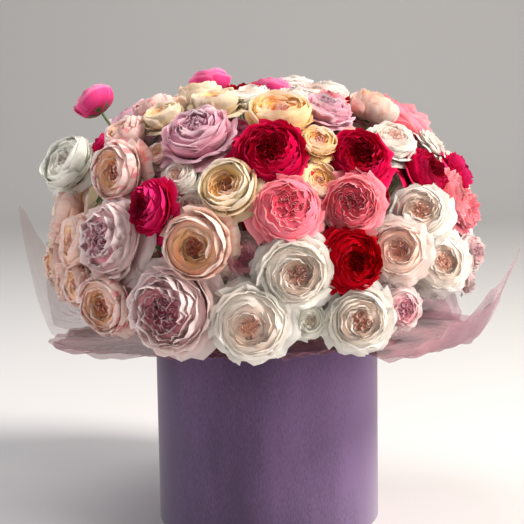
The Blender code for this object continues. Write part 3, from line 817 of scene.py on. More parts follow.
class PetalTree:
    """The Geometry Nodes tree that stands petals on a bloom's seats, with the petals' own collections."""

    def __init__(self) -> None:
        """Builds the tree and a collection of petals for each form."""
        self.tree = self.build_tree()
        self.sets = {form: self.petal_set(form.name.lower(), form.value.petals()) for form in BloomForm}
        for form, petals in self.sets.items():
            label = f"{form.name.lower()}_mound"
            petals.objects.link(bpy.data.objects.new(label, form.value.mound(label)))
        self.calyx = self.petal_set("calyx", (SEPAL,))

    @staticmethod
    def petal_set(name: str, rings: Sequence[PetalRing]) -> bpy.types.Collection:
        """Makes one petal for each ring, outside the scene.

        Args:
            name: What the petals' names start with.
            rings: The rings.

        Returns:
            The collection of petals, in the rings' order.
        """
        made = bpy.data.collections.new(f"petals_{name}")
        for number, ring in enumerate(rings):
            label = f"{name}_{number:02d}"
            made.objects.link(bpy.data.objects.new(label, ring.mesh(label)))
        return made

    @staticmethod
    def build_tree() -> bpy.types.NodeTree:
        """Builds petals picked by ring, turned and leaned on their seats, ruffled, and realized.

        Returns:
            The tree.
        """
        inputs = {
            "Geometry": GEOMETRY,
            "Petals": "NodeSocketCollection",
            "Lean Spread": 0.08,
            "Size Spread": 0.08,
            "Ruffle": 0.12,
            "Ruffle Scale": 3.0,
            "Crinkle": 0.06,
            "Crinkle Scale": 9.0,
            "Seed": 0,
            "Finish": "NodeSocketMaterial",
        }
        w, given, result = new_group("GeometryNodeTree", "Petals on seats", inputs, {"Geometry": GEOMETRY})

        def chance(offset: int, low: Value, high: Value) -> Socket:
            """A random number for each seat."""
            total = w.math("ADD", given["Seed"], w.out("FunctionNodeInputInt", integer=offset))
            return w.add("FunctionNodeRandomValue", {2: low, 3: high, "Seed": total}, data_type="FLOAT").outputs[1]

        spread = given["Lean Spread"]
        lean = w.math("ADD", w.named("lean"), chance(1, w.times(spread, -1.0), spread))
        tilt = chance(2, w.times(spread, -0.7), w.times(spread, 0.7))
        growth = given["Size Spread"]
        size = chance(3, w.math("SUBTRACT", 1.0, growth), w.math("ADD", 1.0, growth))
        picked = {"Collection": given["Petals"], "Separate Children": True, "Reset Children": True}
        placed = w.out("GeometryNodeInstanceOnPoints", {
            "Points": given["Geometry"],
            "Instance": w.out("GeometryNodeCollectionInfo", picked),
            "Pick Instance": True,
            "Instance Index": w.named("petal", "INT"),
            "Rotation": w.out("FunctionNodeEulerToRotation", {0: w.vector(tilt, lean, w.named("turn"))}),
            "Scale": w.vector(size, size, size),
        })
        marks = {"Geometry": placed, "Name": "chance", "Value": chance(4, 0.0, 1.0)}
        marked = w.out("GeometryNodeStoreNamedAttribute", marks, data_type="FLOAT", domain="INSTANCE")
        whole = w.out("GeometryNodeRealizeInstances", {0: marked})
        place = w.out("GeometryNodeInputPosition")
        own = w.times(w.named("chance"), 50.0)
        along = w.named("along")

        def waved(geometry: Socket, scale: Socket, amount: Socket) -> Socket:
            """Moves the petals by a noise of their own.

            Args:
                geometry: The petals.
                scale: The noise's scale.
                amount: How far it moves them.

            Returns:
                The moved petals.
            """
            values = {"Vector": place, "W": own, "Scale": scale, "Detail": 1.0}
            noise = w.add("ShaderNodeTexNoise", values, noise_dimensions="4D").outputs["Color"]
            centred = w.vector_math("SUBTRACT", noise, {1: (0.5, 0.5, 0.5)})
            offset = w.vector_math("SCALE", centred, {"Scale": amount})
            return w.out("GeometryNodeSetPosition", {"Geometry": geometry, "Offset": offset})

        ruffled = waved(whole, given["Ruffle Scale"], w.times(w.times(along, along), given["Ruffle"]))
        at_rim = w.times(w.math("POWER", along, 4.0), given["Crinkle"])
        smooth = w.out("GeometryNodeSetShadeSmooth", {"Geometry": waved(ruffled, given["Crinkle Scale"], at_rim)})
        fill(result, {0: w.out("GeometryNodeSetMaterial", {"Geometry": smooth, "Material": given["Finish"]})})
        return w.tree

    def grow(self, seats: Sequence[Seat], draws: random.Random, petals: bpy.types.Collection, values: dict) -> Mesh:
        """Stands petals on seats.

        Args:
            seats: The petals' seats.
            draws: The bloom's random draws.
            petals: The collection that the petals are picked from.
            values: The tree's other inputs.

        Returns:
            The petals as one plain mesh.
        """
        points = new_mesh("seats", [seat.place for seat in seats])
        add_numbers(points, {"petal": [seat.petal for seat in seats]}, kind="INT")
        add_numbers(points, {
            "turn": [seat.turn for seat in seats],
            "lean": [draws.uniform(*LEAN_PLAY) for _ in seats],
            "ring": [seat.ring for seat in seats],
        })
        return evaluated(points, "NODES", {"node_group": self.tree}, {"Petals": petals, **values})


# The bouquet


@dataclass(frozen=True)
class Looks:
    """What sets a bloom apart from others of its variety: its form, its finish's name, and how it is turned."""

    form: BloomForm | None = None
    finish: str = ""
    aside: float = 0.0
    up: float = 0.0

    def turned(self, outward: Vector) -> Vector:
        """Turns the dome's direction right and up in the view, by these looks' degrees.

        Args:
            outward: The dome's outward direction.

        Returns:
            The direction that the bloom opens in.
        """
        right, up, _ = VIEW.axes()
        sideways = Matrix.Rotation(math.radians(self.aside), 3, up)
        return sideways @ Matrix.Rotation(-math.radians(self.up), 3, right) @ outward


@dataclass(frozen=True)
class Rose:
    """A rose that shows: its stem, its centre in the view and its diameter in millimetres."""

    stem: str
    across: float
    down: float
    diameter: float
    behind: float | None = None
    reach: float = 1.0
    looks: Looks = Looks()

    def radius(self) -> float:
        """The radius in metres."""
        return self.diameter / 2000


SEEN_ROSES = (
    Rose("magenta_tall", 95, 103, 44, looks=Looks(BloomForm.GOBLET, "hotpink", aside=-10, up=10)),
    Rose("magenta_tall", 102, 143, 28, reach=0.95),
    Rose("magenta_top", 210, 84, 46, behind=0.075, looks=Looks(BloomForm.GOBLET, "hotpink")),
    Rose("cream_top", 198, 101, 56, behind=0.02, looks=Looks(BloomForm.GOBLET, aside=-15)),
    Rose("hotpink_top", 240, 100, 38, behind=0.055),
    Rose("hotpink_top", 239, 121, 28, reach=0.94),
    Rose("blush_crown", 153, 110, 44, looks=Looks(BloomForm.CUP, "striped")),
    Rose("blush_crown", 127, 136, 46, looks=Looks(BloomForm.GOBLET, "striped")),
    Rose("mauve_crown", 197, 136, 70),
    Rose("white_left", 70, 163, 60, looks=Looks(finish="ivory", aside=35)),
    Rose("peach_left", 119, 173, 58, looks=Looks(finish="striped", up=-35)),
    Rose("peach_left", 153, 148, 26, reach=0.95),
    Rose("white_small", 174, 173, 40, reach=0.95),
    Rose("white_small", 191, 205, 36, reach=0.93),
    Rose("magenta_left", 148, 207, 56, looks=Looks(BloomForm.ROSETTE, aside=-20, up=-10)),
    Rose("cream_heart", 232, 183, 60, looks=Looks(aside=-12)),
    Rose("peach_heart", 200, 246, 72, looks=Looks(up=-10)),
    Rose("mauve_ruffled", 113, 238, 76, looks=Looks(BloomForm.ROSETTE, "pink")),
    Rose("peach_side", 68, 220, 58),
    Rose("peach_side", 60, 264, 46, looks=Looks(BloomForm.GOBLET, aside=20)),
    Rose("peach_low", 107, 303, 58, looks=Looks(finish="striped", aside=15, up=-10)),
    Rose("pink_low", 172, 303, 84),
    Rose("blush_middle", 243, 257, 48, reach=0.91, looks=Looks(finish="pink")),
    Rose("white_low", 256, 318, 70),
    Rose("white_low", 312, 322, 34, reach=0.93, looks=Looks(BloomForm.GARDEN, "ivory")),
    Rose("white_main", 293, 268, 76, looks=Looks(up=-5)),
    Rose("red_main", 352, 260, 66),
    Rose("blush_right", 392, 250, 58, looks=Looks(aside=-40)),
    Rose("white_right", 419, 213, 56, looks=Looks(aside=-50)),
    Rose("white_right", 439, 262, 60, looks=Looks(aside=-40)),
    Rose("pink_edge", 472, 252, 38, looks=Looks(aside=-30)),
    Rose("pink_edge", 468, 280, 28),
    Rose("coral_edge", 466, 208, 44, looks=Looks(aside=-25)),
    Rose("crimson_right", 424, 172, 54),
    Rose("crimson_right", 459, 171, 42, looks=Looks(finish="magenta")),
    Rose("white_front", 360, 314, 62, looks=Looks(aside=-18)),
    Rose("white_front", 400, 309, 42, looks=Looks(finish="pink", aside=-15)),
    Rose("coral_pair", 287, 211, 62),
    Rose("coral_pair", 350, 203, 56, looks=Looks(aside=-25, up=-15)),
    Rose("cream_small", 324, 175, 42, reach=0.93),
    Rose("crimson_main", 267, 163, 72, looks=Looks(up=-15)),
    Rose("crimson_upper", 357, 159, 58, looks=Looks(aside=-15, up=-15)),
    Rose("crimson_upper", 386, 190, 26, reach=0.94),
    Rose("yellow_pair", 280, 117, 60),
    Rose("yellow_pair", 319, 144, 34),
    Rose("hotpink_crest", 270, 92, 46, behind=0.085),
    Rose("white_crest", 297, 88, 46, behind=0.115),
    Rose("white_crest", 330, 92, 42, behind=0.085),
    Rose("blush_crest", 325, 111, 52, looks=Looks(finish="mauve")),
    Rose("peach_crest", 373, 110, 52, looks=Looks(BloomForm.GOBLET)),
    Rose("peach_crest", 358, 132, 28, reach=0.95),
    Rose("white_upper", 394, 143, 48, looks=Looks(aside=-25)),
    Rose("white_upper", 432, 143, 34),
)
BACK_LOOKS = {"yellow_back_12": Looks(finish="cream"), "pink_back_07": Looks(finish="coral")}
BACK_VARIETIES = (
    "white", "magenta", "peach", "blush", "cream", "crimson", "pink", "white",
    "coral", "mauve", "blush", "yellow", "red", "white",
)


@dataclass(frozen=True)
class View:
    """Where the roses are seen from, as the photograph was taken."""

    eye: Vector = Vector((-0.0038, -1.44, 0.476))
    pitch: float = math.radians(7.8)
    roll: float = math.radians(0.88)
    focal_pixels: float = 1346.0
    middle_pixel: float = 262.0

    def axes(self) -> tuple[Vector, Vector, Vector]:
        """Finds the view's directions.

        Returns:
            Its right, up and forward.
        """
        right = Vector((math.cos(self.roll), 0.0, -math.sin(self.roll)))
        forward = Vector((0.0, math.cos(self.pitch), -math.sin(self.pitch)))
        return right, right.cross(forward), forward

    def ray(self, across: float, down: float) -> Vector:
        """Finds the direction in which a point of the view lies.

        Args:
            across: The point's pixels from the left.
            down: Its pixels from the top.

        Returns:
            The direction.
        """
        right, up, forward = self.axes()
        aside = (across - self.middle_pixel) / self.focal_pixels
        below = (down - self.middle_pixel) / self.focal_pixels
        return (forward + right * aside - up * below).normalized()


VIEW = View()


@dataclass
class Dome:
    """The dome that the blooms' centres lie on, and the rule that sets the blooms out over it."""

    centre_z: float = 0.252
    radius: float = 0.216
    rise: float = 0.205
    fullness: float = 2.7
    lowest: float = 0.02
    clearance: float = 0.0005
    closeness: float = 0.94
    settle_steps: int = 80
    push: float = 0.20
    pull: float = 0.20
    grow_steps: int = 30
    grow_share: float = 1.015
    most_growth: float = 1.30
    back_sprays: int = 14
    back_sizes: tuple = ((0.040, 4), (0.036, 7), (0.033, 7), (0.030, 7), (0.026, 7), (0.021, 7), (0.017, 6))
    candidates: int = 1500
    back_facing: float = -0.12
    filler_radius: float = 0.022
    sight_step: float = 0.002
    sight_near: float = 1.05
    sight_far: float = 1.75

    def measure(self, point: Vector) -> float:
        """Measures how far out a point lies.

        Args:
            point: The point.

        Returns:
            1 on the dome, less inside it and more outside.
        """
        wide = math.hypot(point.x, point.y) / self.radius
        high = abs(point.z - self.centre_z) / self.rise
        return (wide**self.fullness + high**self.fullness) ** (1 / self.fullness)

    def onto(self, point: Vector, reach: float = 1.0) -> Vector:
        """The point moved straight towards or from the dome's centre, onto the dome."""
        centre = Vector((0, 0, self.centre_z))
        return centre + (point - centre) * (reach / self.measure(point))

    def outward(self, place: Vector) -> Vector:
        """Finds the dome's outward direction.

        Args:
            place: A place on the dome.

        Returns:
            The direction there.
        """
        wide = math.hypot(place.x, place.y)
        side = (wide / self.radius) ** (self.fullness - 1) / self.radius
        high = (place.z - self.centre_z) / self.rise
        rise = math.copysign(abs(high) ** (self.fullness - 1), high) / self.rise
        return Vector((side * place.x / wide, side * place.y / wide, rise)).normalized()

    def seen_place(self, rose: Rose) -> Vector:
        """Finds where a rose that shows belongs.

        Args:
            rose: The rose.

        Returns:
            Where the line of sight to it meets the dome, or passes nearest to it.
        """
        ray = VIEW.ray(rose.across, rose.down)
        if rose.behind is not None:
            return VIEW.eye + ray * ((rose.behind - VIEW.eye.y) / ray.y)
        steps = math.ceil((self.sight_far - self.sight_near) / self.sight_step)
        sights = [VIEW.eye + ray * (self.sight_near + self.sight_step * step) for step in range(steps)]
        met = [point for point in sights if self.measure(point) <= 1.0]
        return self.onto(met[0], rose.reach) if met else min(sights, key=self.measure)

    def overlaps(self, places: list[Vector], radii: list[float]) -> Iterator[tuple[int, int, float]]:
        """Finds blooms that overlap.

        Args:
            places: The blooms' places.
            radii: Their radii, which may change from pair to pair.

        Yields:
            Each pair's numbers, and by how much they overlap.
        """
        for i, j in combinations(range(len(places)), 2):
            lap = radii[i] + radii[j] + self.clearance - (places[i] - places[j]).length
            if lap > 0:
                yield i, j, lap

    def settle(self, places: list[Vector], homes: list[Vector], radii: list[float]) -> None:
        """Pushes crowded blooms apart and pulls each towards its home.

        Args:
            places: The blooms' places, which it moves.
            homes: Where each belongs. It keeps its home's reach from the dome.
            radii: Their radii.
        """
        reaches = [self.measure(home) for home in homes]
        for _ in range(self.settle_steps):
            moves = [Vector((0, 0, 0)) for _ in places]
            for i, j, lap in self.overlaps(places, radii):
                push = (places[i] - places[j]).normalized() * (lap * self.push)
                moves[i] += push
                moves[j] -= push
            for i, move in enumerate(moves):
                pulled = places[i] + move + (homes[i] - places[i]) * self.pull
                places[i] = self.onto(pulled, reaches[i])

    def shrink_to_fit(self, places: list[Vector], radii: list[float]) -> None:
        """Takes from each of two blooms that still overlap its share of the overlap.

        Args:
            places: The blooms' places.
            radii: Their radii, which it changes.
        """
        for i, j, lap in self.overlaps(places, radii):
            share = radii[i] / (radii[i] + radii[j])
            radii[i] -= lap * share
            radii[j] -= lap * (1 - share)

    def seen_blooms(self) -> list[tuple[str, Vector, float]]:
        """Sets out the blooms on the side that shows.

        Returns:
            Stem name, place and radius of each.
        """
        homes = [self.seen_place(rose) for rose in SEEN_ROSES]
        radii = [rose.radius() * self.closeness for rose in SEEN_ROSES]
        places = [home.copy() for home in homes]
        self.settle(places, homes, radii)
        self.shrink_to_fit(places, radii)
        return [(rose.stem, place, radius) for rose, place, radius in zip(SEEN_ROSES, places, radii)]

    def facing(self, place: Vector) -> float:
        """1 where the dome faces the view, 0 at its outline and less on its far side."""
        return self.outward(place).dot((VIEW.eye - place).normalized())

    def back_blooms(self, taken: list[tuple[str, Vector, float]]) -> list[Bloom]:
        """Fills the rest of the dome, with only the smallest blooms on the side that shows.

        Args:
            taken: The blooms that are there already.

        Returns:
            Place and radius of each new bloom.
        """
        golden = math.pi * (3 - math.sqrt(5))
        steps = list(range(self.candidates))
        random.Random(SEED).shuffle(steps)
        placed = []
        for radius, most in self.back_sizes:
            count = 0
            for step in steps:
                high = 1 - (1 - self.lowest) * (step + 0.5) / self.candidates
                ring = math.sqrt(1 - high * high)
                turn = golden * step
                place = self.onto(Vector((ring * math.cos(turn), ring * math.sin(turn), high + self.centre_z)))
                if count == most or (radius > self.filler_radius and self.facing(place) > self.back_facing):
                    continue
                others = [(p, r) for _, p, r in taken] + placed
                if all((place - p).length > radius + r + self.clearance for p, r in others):
                    placed.append((place, radius))
                    count += 1
        return placed

    def grouped(self, blooms: list[Bloom]) -> list[list[Bloom]]:
        """Splits blooms into sprays of neighbours, two or three to a spray.

        Args:
            blooms: Place and radius of each bloom.

        Returns:
            The sprays.
        """
        left = sorted(blooms, key=lambda bloom: math.atan2(bloom[0].y, bloom[0].x) % math.tau)
        sprays = []
        while left:
            size = math.ceil(len(left) / (self.back_sprays - len(sprays)))
            first = min(left, key=lambda bloom: bloom[0].z)
            near = sorted(left, key=lambda bloom: (bloom[0] - first[0]).length)[:size]
            sprays.append(near)
            left = [bloom for bloom in left if all(bloom is not other for other in near)]
        return sprays

    def grow_to_fit(self, places: list[Vector], radii: list[float]) -> None:
        """Opens each bloom a little at a time while its neighbours leave it room.

        Args:
            places: The blooms' places.
            radii: Their radii, which it changes.
        """
        most = [radius * self.most_growth for radius in radii]
        for _ in range(self.grow_steps):
            for i, place in enumerate(places):
                others = [(other, radius) for j, (other, radius) in enumerate(zip(places, radii)) if j != i]
                room = min((place - other).length - radius for other, radius in others)
                radii[i] = max(radii[i], min(radii[i] * self.grow_share, room - self.clearance, most[i]))

    def stems(self) -> dict[str, list[Bloom]]:
        """Sets out every rose and spray in the box.

        Returns:
            Stem name to place and radius of each of its blooms.
        """
        named = self.seen_blooms()
        for number, spray in enumerate(self.grouped(self.back_blooms(named))):
            name = f"{BACK_VARIETIES[number]}_back_{number + 1:02d}"
            named += [(name, place, radius) for place, radius in spray]
        radii = [radius for _, _, radius in named]
        self.grow_to_fit([place for _, place, _ in named], radii)
        made = {}
        for (name, place, _), radius in zip(named, radii):
            made.setdefault(name, []).append((place, radius))
        return made


@dataclass
class Bouquet:
    """The sizes of the roses, and the paths of their stems from the foam."""

    dome: Dome = field(default_factory=Dome)
    fullness: float = 1.13
    stem_radius: float = 0.0022
    branch_radius: float = 0.0015
    foam_top: float = 0.222
    hole_play: float = 0.0004
    hole_depth: float = 0.060
    hole_spread: float = 0.101
    hole_lowest: float = -0.10
    branch_share: float = 0.45
    straight_rise: float = 0.002
    bend_aside: float = 0.30
    bend_up: float = 0.42
    bend_least: float = 0.006
    branch_sweep: float = 0.72
    foot_sink: float = 0.50

    def hole(self, place: Vector) -> Vector:
        """Finds a stem's hole in the foam.

        Args:
            place: Where the stem goes.

        Returns:
            The top of its hole.
        """
        high = (place - Vector((0, 0, self.dome.centre_z))).normalized().z
        spread = self.hole_spread * math.sqrt((1 - max(high, self.hole_lowest)) / (1 - self.hole_lowest))
        turn = math.atan2(place.y, place.x)
        return Vector((spread * math.cos(turn), spread * math.sin(turn), self.foam_top))

    def along_stem(self, hole: Vector, end: Vector, share: float) -> Vector:
        """Finds a point on the smooth path from the foam to a bloom's foot.

        Args:
            hole: Where the path starts.
            end: Where it ends.
            share: How far along it the point lies.

        Returns:
            The point.
        """
        bend = Vector((
            hole.x + (end.x - hole.x) * self.bend_aside,
            hole.y + (end.y - hole.y) * self.bend_aside,
            hole.z + self.bend_least + max(0.0, end.z - hole.z) * self.bend_up,
        ))
        return hole * (1 - share) ** 2 + bend * (2 * share * (1 - share)) + end * share**2

    def stem_lines(self, places: list[Vector], feet: list[Vector]) -> list[tuple[list[Vector], float]]:
        """Sets out a rose's stem and branches.

        Args:
            places: The places of its blooms.
            feet: The feet of its blooms.

        Returns:
            The line that each follows, with its radius.
        """
        hole = self.hole(sum(places, Vector()) / len(places))
        seat = hole - Vector((0, 0, self.hole_depth - self.hole_play))
        straight = hole + Vector((0, 0, self.straight_rise))
        if len(feet) == 1:
            return [([seat, straight, self.along_stem(straight, feet[0], 0.5), feet[0]], self.stem_radius)]
        fork = self.along_stem(straight, sum(feet, Vector()) / len(feet), self.branch_share)
        lines = [([seat, straight, fork], self.stem_radius)]
        for end in feet:
            way = fork.lerp(end, 0.5).lerp(self.along_stem(straight, end, self.branch_sweep), 0.5)
            lines.append(([fork, way, end], self.branch_radius))
        return lines


class StemTree:
    """The Geometry Nodes tree that sweeps a round stem along its line."""

    def __init__(self) -> None:
        """Builds the tree."""
        inputs = {"Geometry": GEOMETRY, "Spacing": 0.006, "Sides": 8, "Finish": "NodeSocketMaterial"}
        w, given, result = new_group("GeometryNodeTree", "Stem on line", inputs, {"Geometry": GEOMETRY})
        line = w.out("GeometryNodeMeshToCurve", {"Mesh": given["Geometry"]})
        bent = w.out("GeometryNodeCurveSplineType", {"Curve": line}, spline_type="CATMULL_ROM")
        swept = w.out("GeometryNodeCurveToMesh", {
            "Curve": w.out("GeometryNodeResampleCurve", {"Curve": bent, "Length": given["Spacing"]}, mode="LENGTH"),
            "Profile Curve": w.out("GeometryNodeCurvePrimitiveCircle", {"Resolution": given["Sides"], "Radius": 1.0}),
            "Scale": w.named("thick"),
            "Fill Caps": True,
        })
        smooth = w.out("GeometryNodeSetShadeSmooth", {"Geometry": swept})
        whole = w.out("GeometryNodeRealizeInstances", {0: smooth})
        fill(result, {0: w.out("GeometryNodeSetMaterial", {"Geometry": whole, "Material": given["Finish"]})})
        self.tree = w.tree

    def sweep(self, points: Sequence[Vector], radius: float, finish: bpy.types.Material) -> Mesh:
        """Makes a stem.

        Args:
            points: The line that it follows.
            radius: Its radius.
            finish: Its material.

        Returns:
            Its plain mesh.
        """
        line = new_mesh("stem_line", points, joins=len(points) - 1)
        add_numbers(line, {"thick": [radius] * len(points)})
        return evaluated(line, "NODES", {"node_group": self.tree}, {"Finish": finish})


class RoseMaker:
    """Builds each rose piece: its blooms, calyxes, branches and stem."""

    def __init__(self, bouquet: Bouquet) -> None:
        """Builds the trees and the finishes that all the roses share.

        Args:
            bouquet: The sizes and places of the roses.
        """
        self.bouquet = bouquet
        self.petals = PetalTree()
        self.stems = StemTree()
        self.green = STEM_GREEN.build()
        self.finishes = {name: finish.build() for name, finish in PETALS.items()}
        self.twists = random.Random(SEED)

    def bloom(self, looks: Looks, place: Vector, opens: Vector, size: float, seed: int) -> list[Mesh]:
        """Makes a bloom's petals and its calyx, at their place.

        Args:
            looks: The bloom's form and finish.
            place: The bloom's centre.
            opens: The direction that it opens in.
            size: The radius of its outline.
            seed: The seed of its random draws.

        Returns:
            The meshes of its petals and of its calyx.
        """
        form = looks.form or FORM_OF.get(looks.finish, BloomForm.ROSETTE)
        draws = random.Random(seed)
        twist = self.twists.uniform(0, math.tau)
        stance = opens.to_track_quat("Z", "Y").to_matrix().to_4x4()
        matrix = Matrix.Translation(place) @ stance @ Matrix.Rotation(twist, 4, "Z") @ Matrix.Scale(size, 4)
        values = {**BLOOM_PLAY, "Ruffle": form.value.ruffle, "Seed": seed, "Finish": self.finishes[looks.finish]}
        petals = self.petals.grow(form.value.seats(draws), draws, self.petals.sets[form], values)
        sepals = [Seat((0.0, 0.0, FOOT), 0, math.tau * i / SEPAL_SEATS, 1.0) for i in range(SEPAL_SEATS)]
        calyx = self.petals.grow(sepals, draws, self.petals.calyx, {"Seed": seed, "Finish": self.green})
        for mesh in (petals, calyx):
            mesh.transform(matrix)
        return [petals, calyx]

    def build(self, name: str, blooms: list[Bloom], number: int) -> bpy.types.Object:
        """Makes a rose or spray.

        Args:
            name: The name of its node.
            blooms: Place and radius of each of its blooms.
            number: Its number in the bouquet, which seeds its draws.

        Returns:
            The piece that stands for its node.
        """
        variety = name.split("_")[0]
        meshes = []
        shown = [rose for rose in SEEN_ROSES if rose.stem == name]
        feet = []
        for index, (place, radius) in enumerate(blooms):
            size = radius * self.bouquet.fullness
            if shown:
                size = min(size, shown[index].radius())
            looks = shown[index].looks if shown else BACK_LOOKS.get(name, Looks())
            looks = replace(looks, finish=looks.finish or variety)
            opens = looks.turned(self.bouquet.dome.outward(place))
            meshes += self.bloom(looks, place, opens, size, number * 10 + index)
            feet.append(place - opens * (radius * self.bouquet.foot_sink))
        for points, radius in self.bouquet.stem_lines([place for place, _ in blooms], feet):
            meshes.append(self.stems.sweep(points, radius, self.green))
        piece = joined(f"{name}_rose", meshes)
        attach(piece, BODY)
        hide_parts(name)
        return piece


# The box


@dataclass
class HatBox:
    """The velvet box: its covered wall, and the finishes of its bottom, liner and foam."""

    radius: float = 0.120
    height: float = 0.210
    wall: float = 0.0025
    round_edge: float = 0.0012
    steps: int = 144
    arc_points: int = 5
    seam: float = 0.00005
    double: float = 0.00001

    def wall_profile(self) -> list[tuple[float, float, float]]:
        """Sets out the wall's cross-section.

        Returns:
            Its points, with round edges and a slight roll at the rim.
        """
        inner = self.radius - self.wall
        middle = (self.radius + inner) / 2
        profile = []
        for centre_z, start in ((self.height - self.round_edge, 0.0), (self.round_edge, 180.0)):
            for i in range(self.arc_points):
                angle = math.radians(start + 180.0 * i / (self.arc_points - 1))
                wide = middle + math.cos(angle) * self.wall / 2
                profile.append((wide, 0.0, centre_z + math.sin(angle) * self.round_edge))
        return profile

    def turned_wall(self, name: str) -> Mesh:
        """Turns the cross-section about the Z axis.

        Args:
            name: The mesh's name.

        Returns:
            The closed ring, facing outwards.
        """
        profile = self.wall_profile()
        made = evaluated(new_mesh(name, profile, joins=len(profile)), "SCREW", {
            "steps": self.steps,
            "render_steps": self.steps,
            "use_merge_vertices": True,
            "merge_threshold": self.seam,
        })
        work = bmesh.new()
        work.from_mesh(made)
        bmesh.ops.remove_doubles(work, verts=work.verts, dist=self.double)
        bmesh.ops.recalc_face_normals(work, faces=work.faces)
        for face in work.faces:
            face.smooth = True
        work.to_mesh(made)
        work.free()
        return made

    def build(self) -> bpy.types.Object:
        """Makes the velvet wall.

        Returns:
            The piece that stands for its node.
        """
        mesh = self.turned_wall("box_wall_velvet")
        mesh.materials.append(VELVET.build())
        piece = joined("box_wall_velvet", [mesh])
        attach(piece, BODY)
        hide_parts("box_wall")
        return piece

    @staticmethod
    def dress_inside() -> None:
        """Gives the carried-over nodes their finishes."""
        for node, finish in (("box_base", BOARD), ("liner_tub", LINER), ("wet_foam", FOAM)):
            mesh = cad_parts[node].data
            mesh.materials.clear()
            mesh.materials.append(finish.build())


@dataclass(frozen=True)
class Sheet:
    """A sheet of film: its middle and its corner's turn in degrees, its reaches, and its corner's lift."""

    name: str
    middle: float
    corner: float
    first_reach: float
    corner_reach: float
    last_reach: float
    lift: float
    layer: int
    clear: bool = False


SHEETS = (
    Sheet("film_right", 340, 344, 0.234, 0.272, 0.200, 0.092, 0),
    Sheet("film_back_right", 40, 45, 0.205, 0.266, 0.205, 0.070, 1),
    Sheet("film_back", 100, 100, 0.210, 0.262, 0.210, 0.055, 0),
    Sheet("film_left", 160, 172, 0.205, 0.274, 0.205, 0.128, 1, clear=True),
    Sheet("film_left_low", 220, 213, 0.190, 0.251, 0.184, 0.019, 0),
    Sheet("film_front", 280, 265, 0.184, 0.188, 0.180, 0.000, 1),
)


@dataclass(frozen=True)
class Ply:
    """One of the two thicknesses that a sheet is folded into, as changes to the sheet's own corner."""

    turn: float
    reach: float
    lift: float
    over: float
    seed: int


@dataclass
class Film:
    """The film sheets, tucked into the box and lying over its rim under the roses."""

    thickness: float = 0.0003
    half_span: float = 40.0
    columns: int = 48
    rows: int = 24
    stations: tuple[float, ...] = (0.0, 0.20, 0.26, 0.40, 1.0)
    tuck_radius: float = 0.1167
    inset: float = 0.0012
    tuck_z: float = 0.160
    rim_z: float = 0.2106
    past_rim: float = 0.1222
    past_rim_z: float = 0.2130
    lie_start: float = 0.152
    lie_z: float = 0.2105
    layer_step: float = 0.0022
    rise_start: float = 0.231
    rise_end: float = 0.272
    rise_power: float = 1.2
    sharpness: float = 1.25
    creases: int = 17
    crease_height: float = 0.0034
    cross_creases: tuple[float, float] = (1.7, 0.5)
    plies: tuple[Ply, ...] = (Ply(0.0, 0.0, 0.0, 0.0, 1), Ply(-11.0, -0.010, -0.018, 0.0008, 2))

    def point(self, sheet: Sheet, ply: Ply, column: float, row: float, folds: np.ndarray) -> tuple[float, ...]:
        """Finds a point of a sheet.

        Args:
            sheet: The sheet.
            ply: Which of its thicknesses.
            column: From 0 to 1 across it.
            row: From 0 at the tuck to 1 at the edge.
            folds: The heights of its creases across it.

        Returns:
            The point.
        """
        turn = sheet.middle + (column * 2 - 1) * self.half_span
        raised = sheet.layer * self.layer_step + ply.over
        inset = sheet.layer * self.inset
        corner = sheet.corner + ply.turn
        corner_reach = sheet.corner_reach + ply.reach
        tip = (1 - min(1.0, abs(turn - corner) / self.half_span)) ** self.sharpness
        side = sheet.first_reach if turn < corner else sheet.last_reach
        edge = side + (corner_reach - side) * tip
        reaches = [self.tuck_radius - inset, self.tuck_radius - inset, self.past_rim - inset, self.lie_start, edge]
        heights = [self.tuck_z, self.rim_z + raised / 2, self.past_rim_z + raised, self.lie_z + raised]
        reach = float(np.interp(row, self.stations, reaches))
        height = float(np.interp(row, self.stations[:len(heights)], heights))
        rise = max(0.0, min(1.0, (reach - self.rise_start) / (self.rise_end - self.rise_start)))
        height += max(0.0, sheet.lift + ply.lift) * rise**self.rise_power
        out = max(0.0, (reach - self.lie_start) / (corner_reach - self.lie_start))
        places = np.linspace(0, 1, len(folds))
        crossed = (column * self.cross_creases[0] + row * self.cross_creases[1]) % 1
        fold = float(np.interp(column, places, folds)) + float(np.interp(crossed, places, folds))
        height += fold * self.crease_height * out
        angle = math.radians(turn)
        return (reach * math.cos(angle), reach * math.sin(angle), height)

    def ply_mesh(self, sheet: Sheet, ply: Ply) -> Mesh:
        """Makes one creased thickness of a sheet.

        Args:
            sheet: The sheet.
            ply: Which of its thicknesses.

        Returns:
            The mesh.
        """
        folds = np.random.default_rng([int(sheet.middle), ply.seed]).uniform(-1, 1, self.creases)
        points = [
            self.point(sheet, ply, j / self.columns, i / self.rows, folds)
            for i in range(self.rows + 1)
            for j in range(self.columns + 1)
        ]
        grid = np.arange(len(points)).reshape(self.rows + 1, self.columns + 1)
        return new_mesh(sheet.name, points, grid_faces(grid, flipped=True))

    def build(self, sheet: Sheet, finish: bpy.types.Material) -> bpy.types.Object:
        """Makes a creased sheet.

        Args:
            sheet: The sheet.
            finish: Its material.

        Returns:
            The piece that stands for its node.
        """
        meshes = [self.ply_mesh(sheet, ply) for ply in self.plies]
        for mesh in meshes:
            mesh.materials.append(finish)
        piece = joined(f"{sheet.name}_sheet", meshes)
        wall = piece.modifiers.new("Thickness", "SOLIDIFY")
        wall.thickness = self.thickness
        wall.offset = 0.0
        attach(piece, BODY)
        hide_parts(sheet.name)
        return piece


# The studio


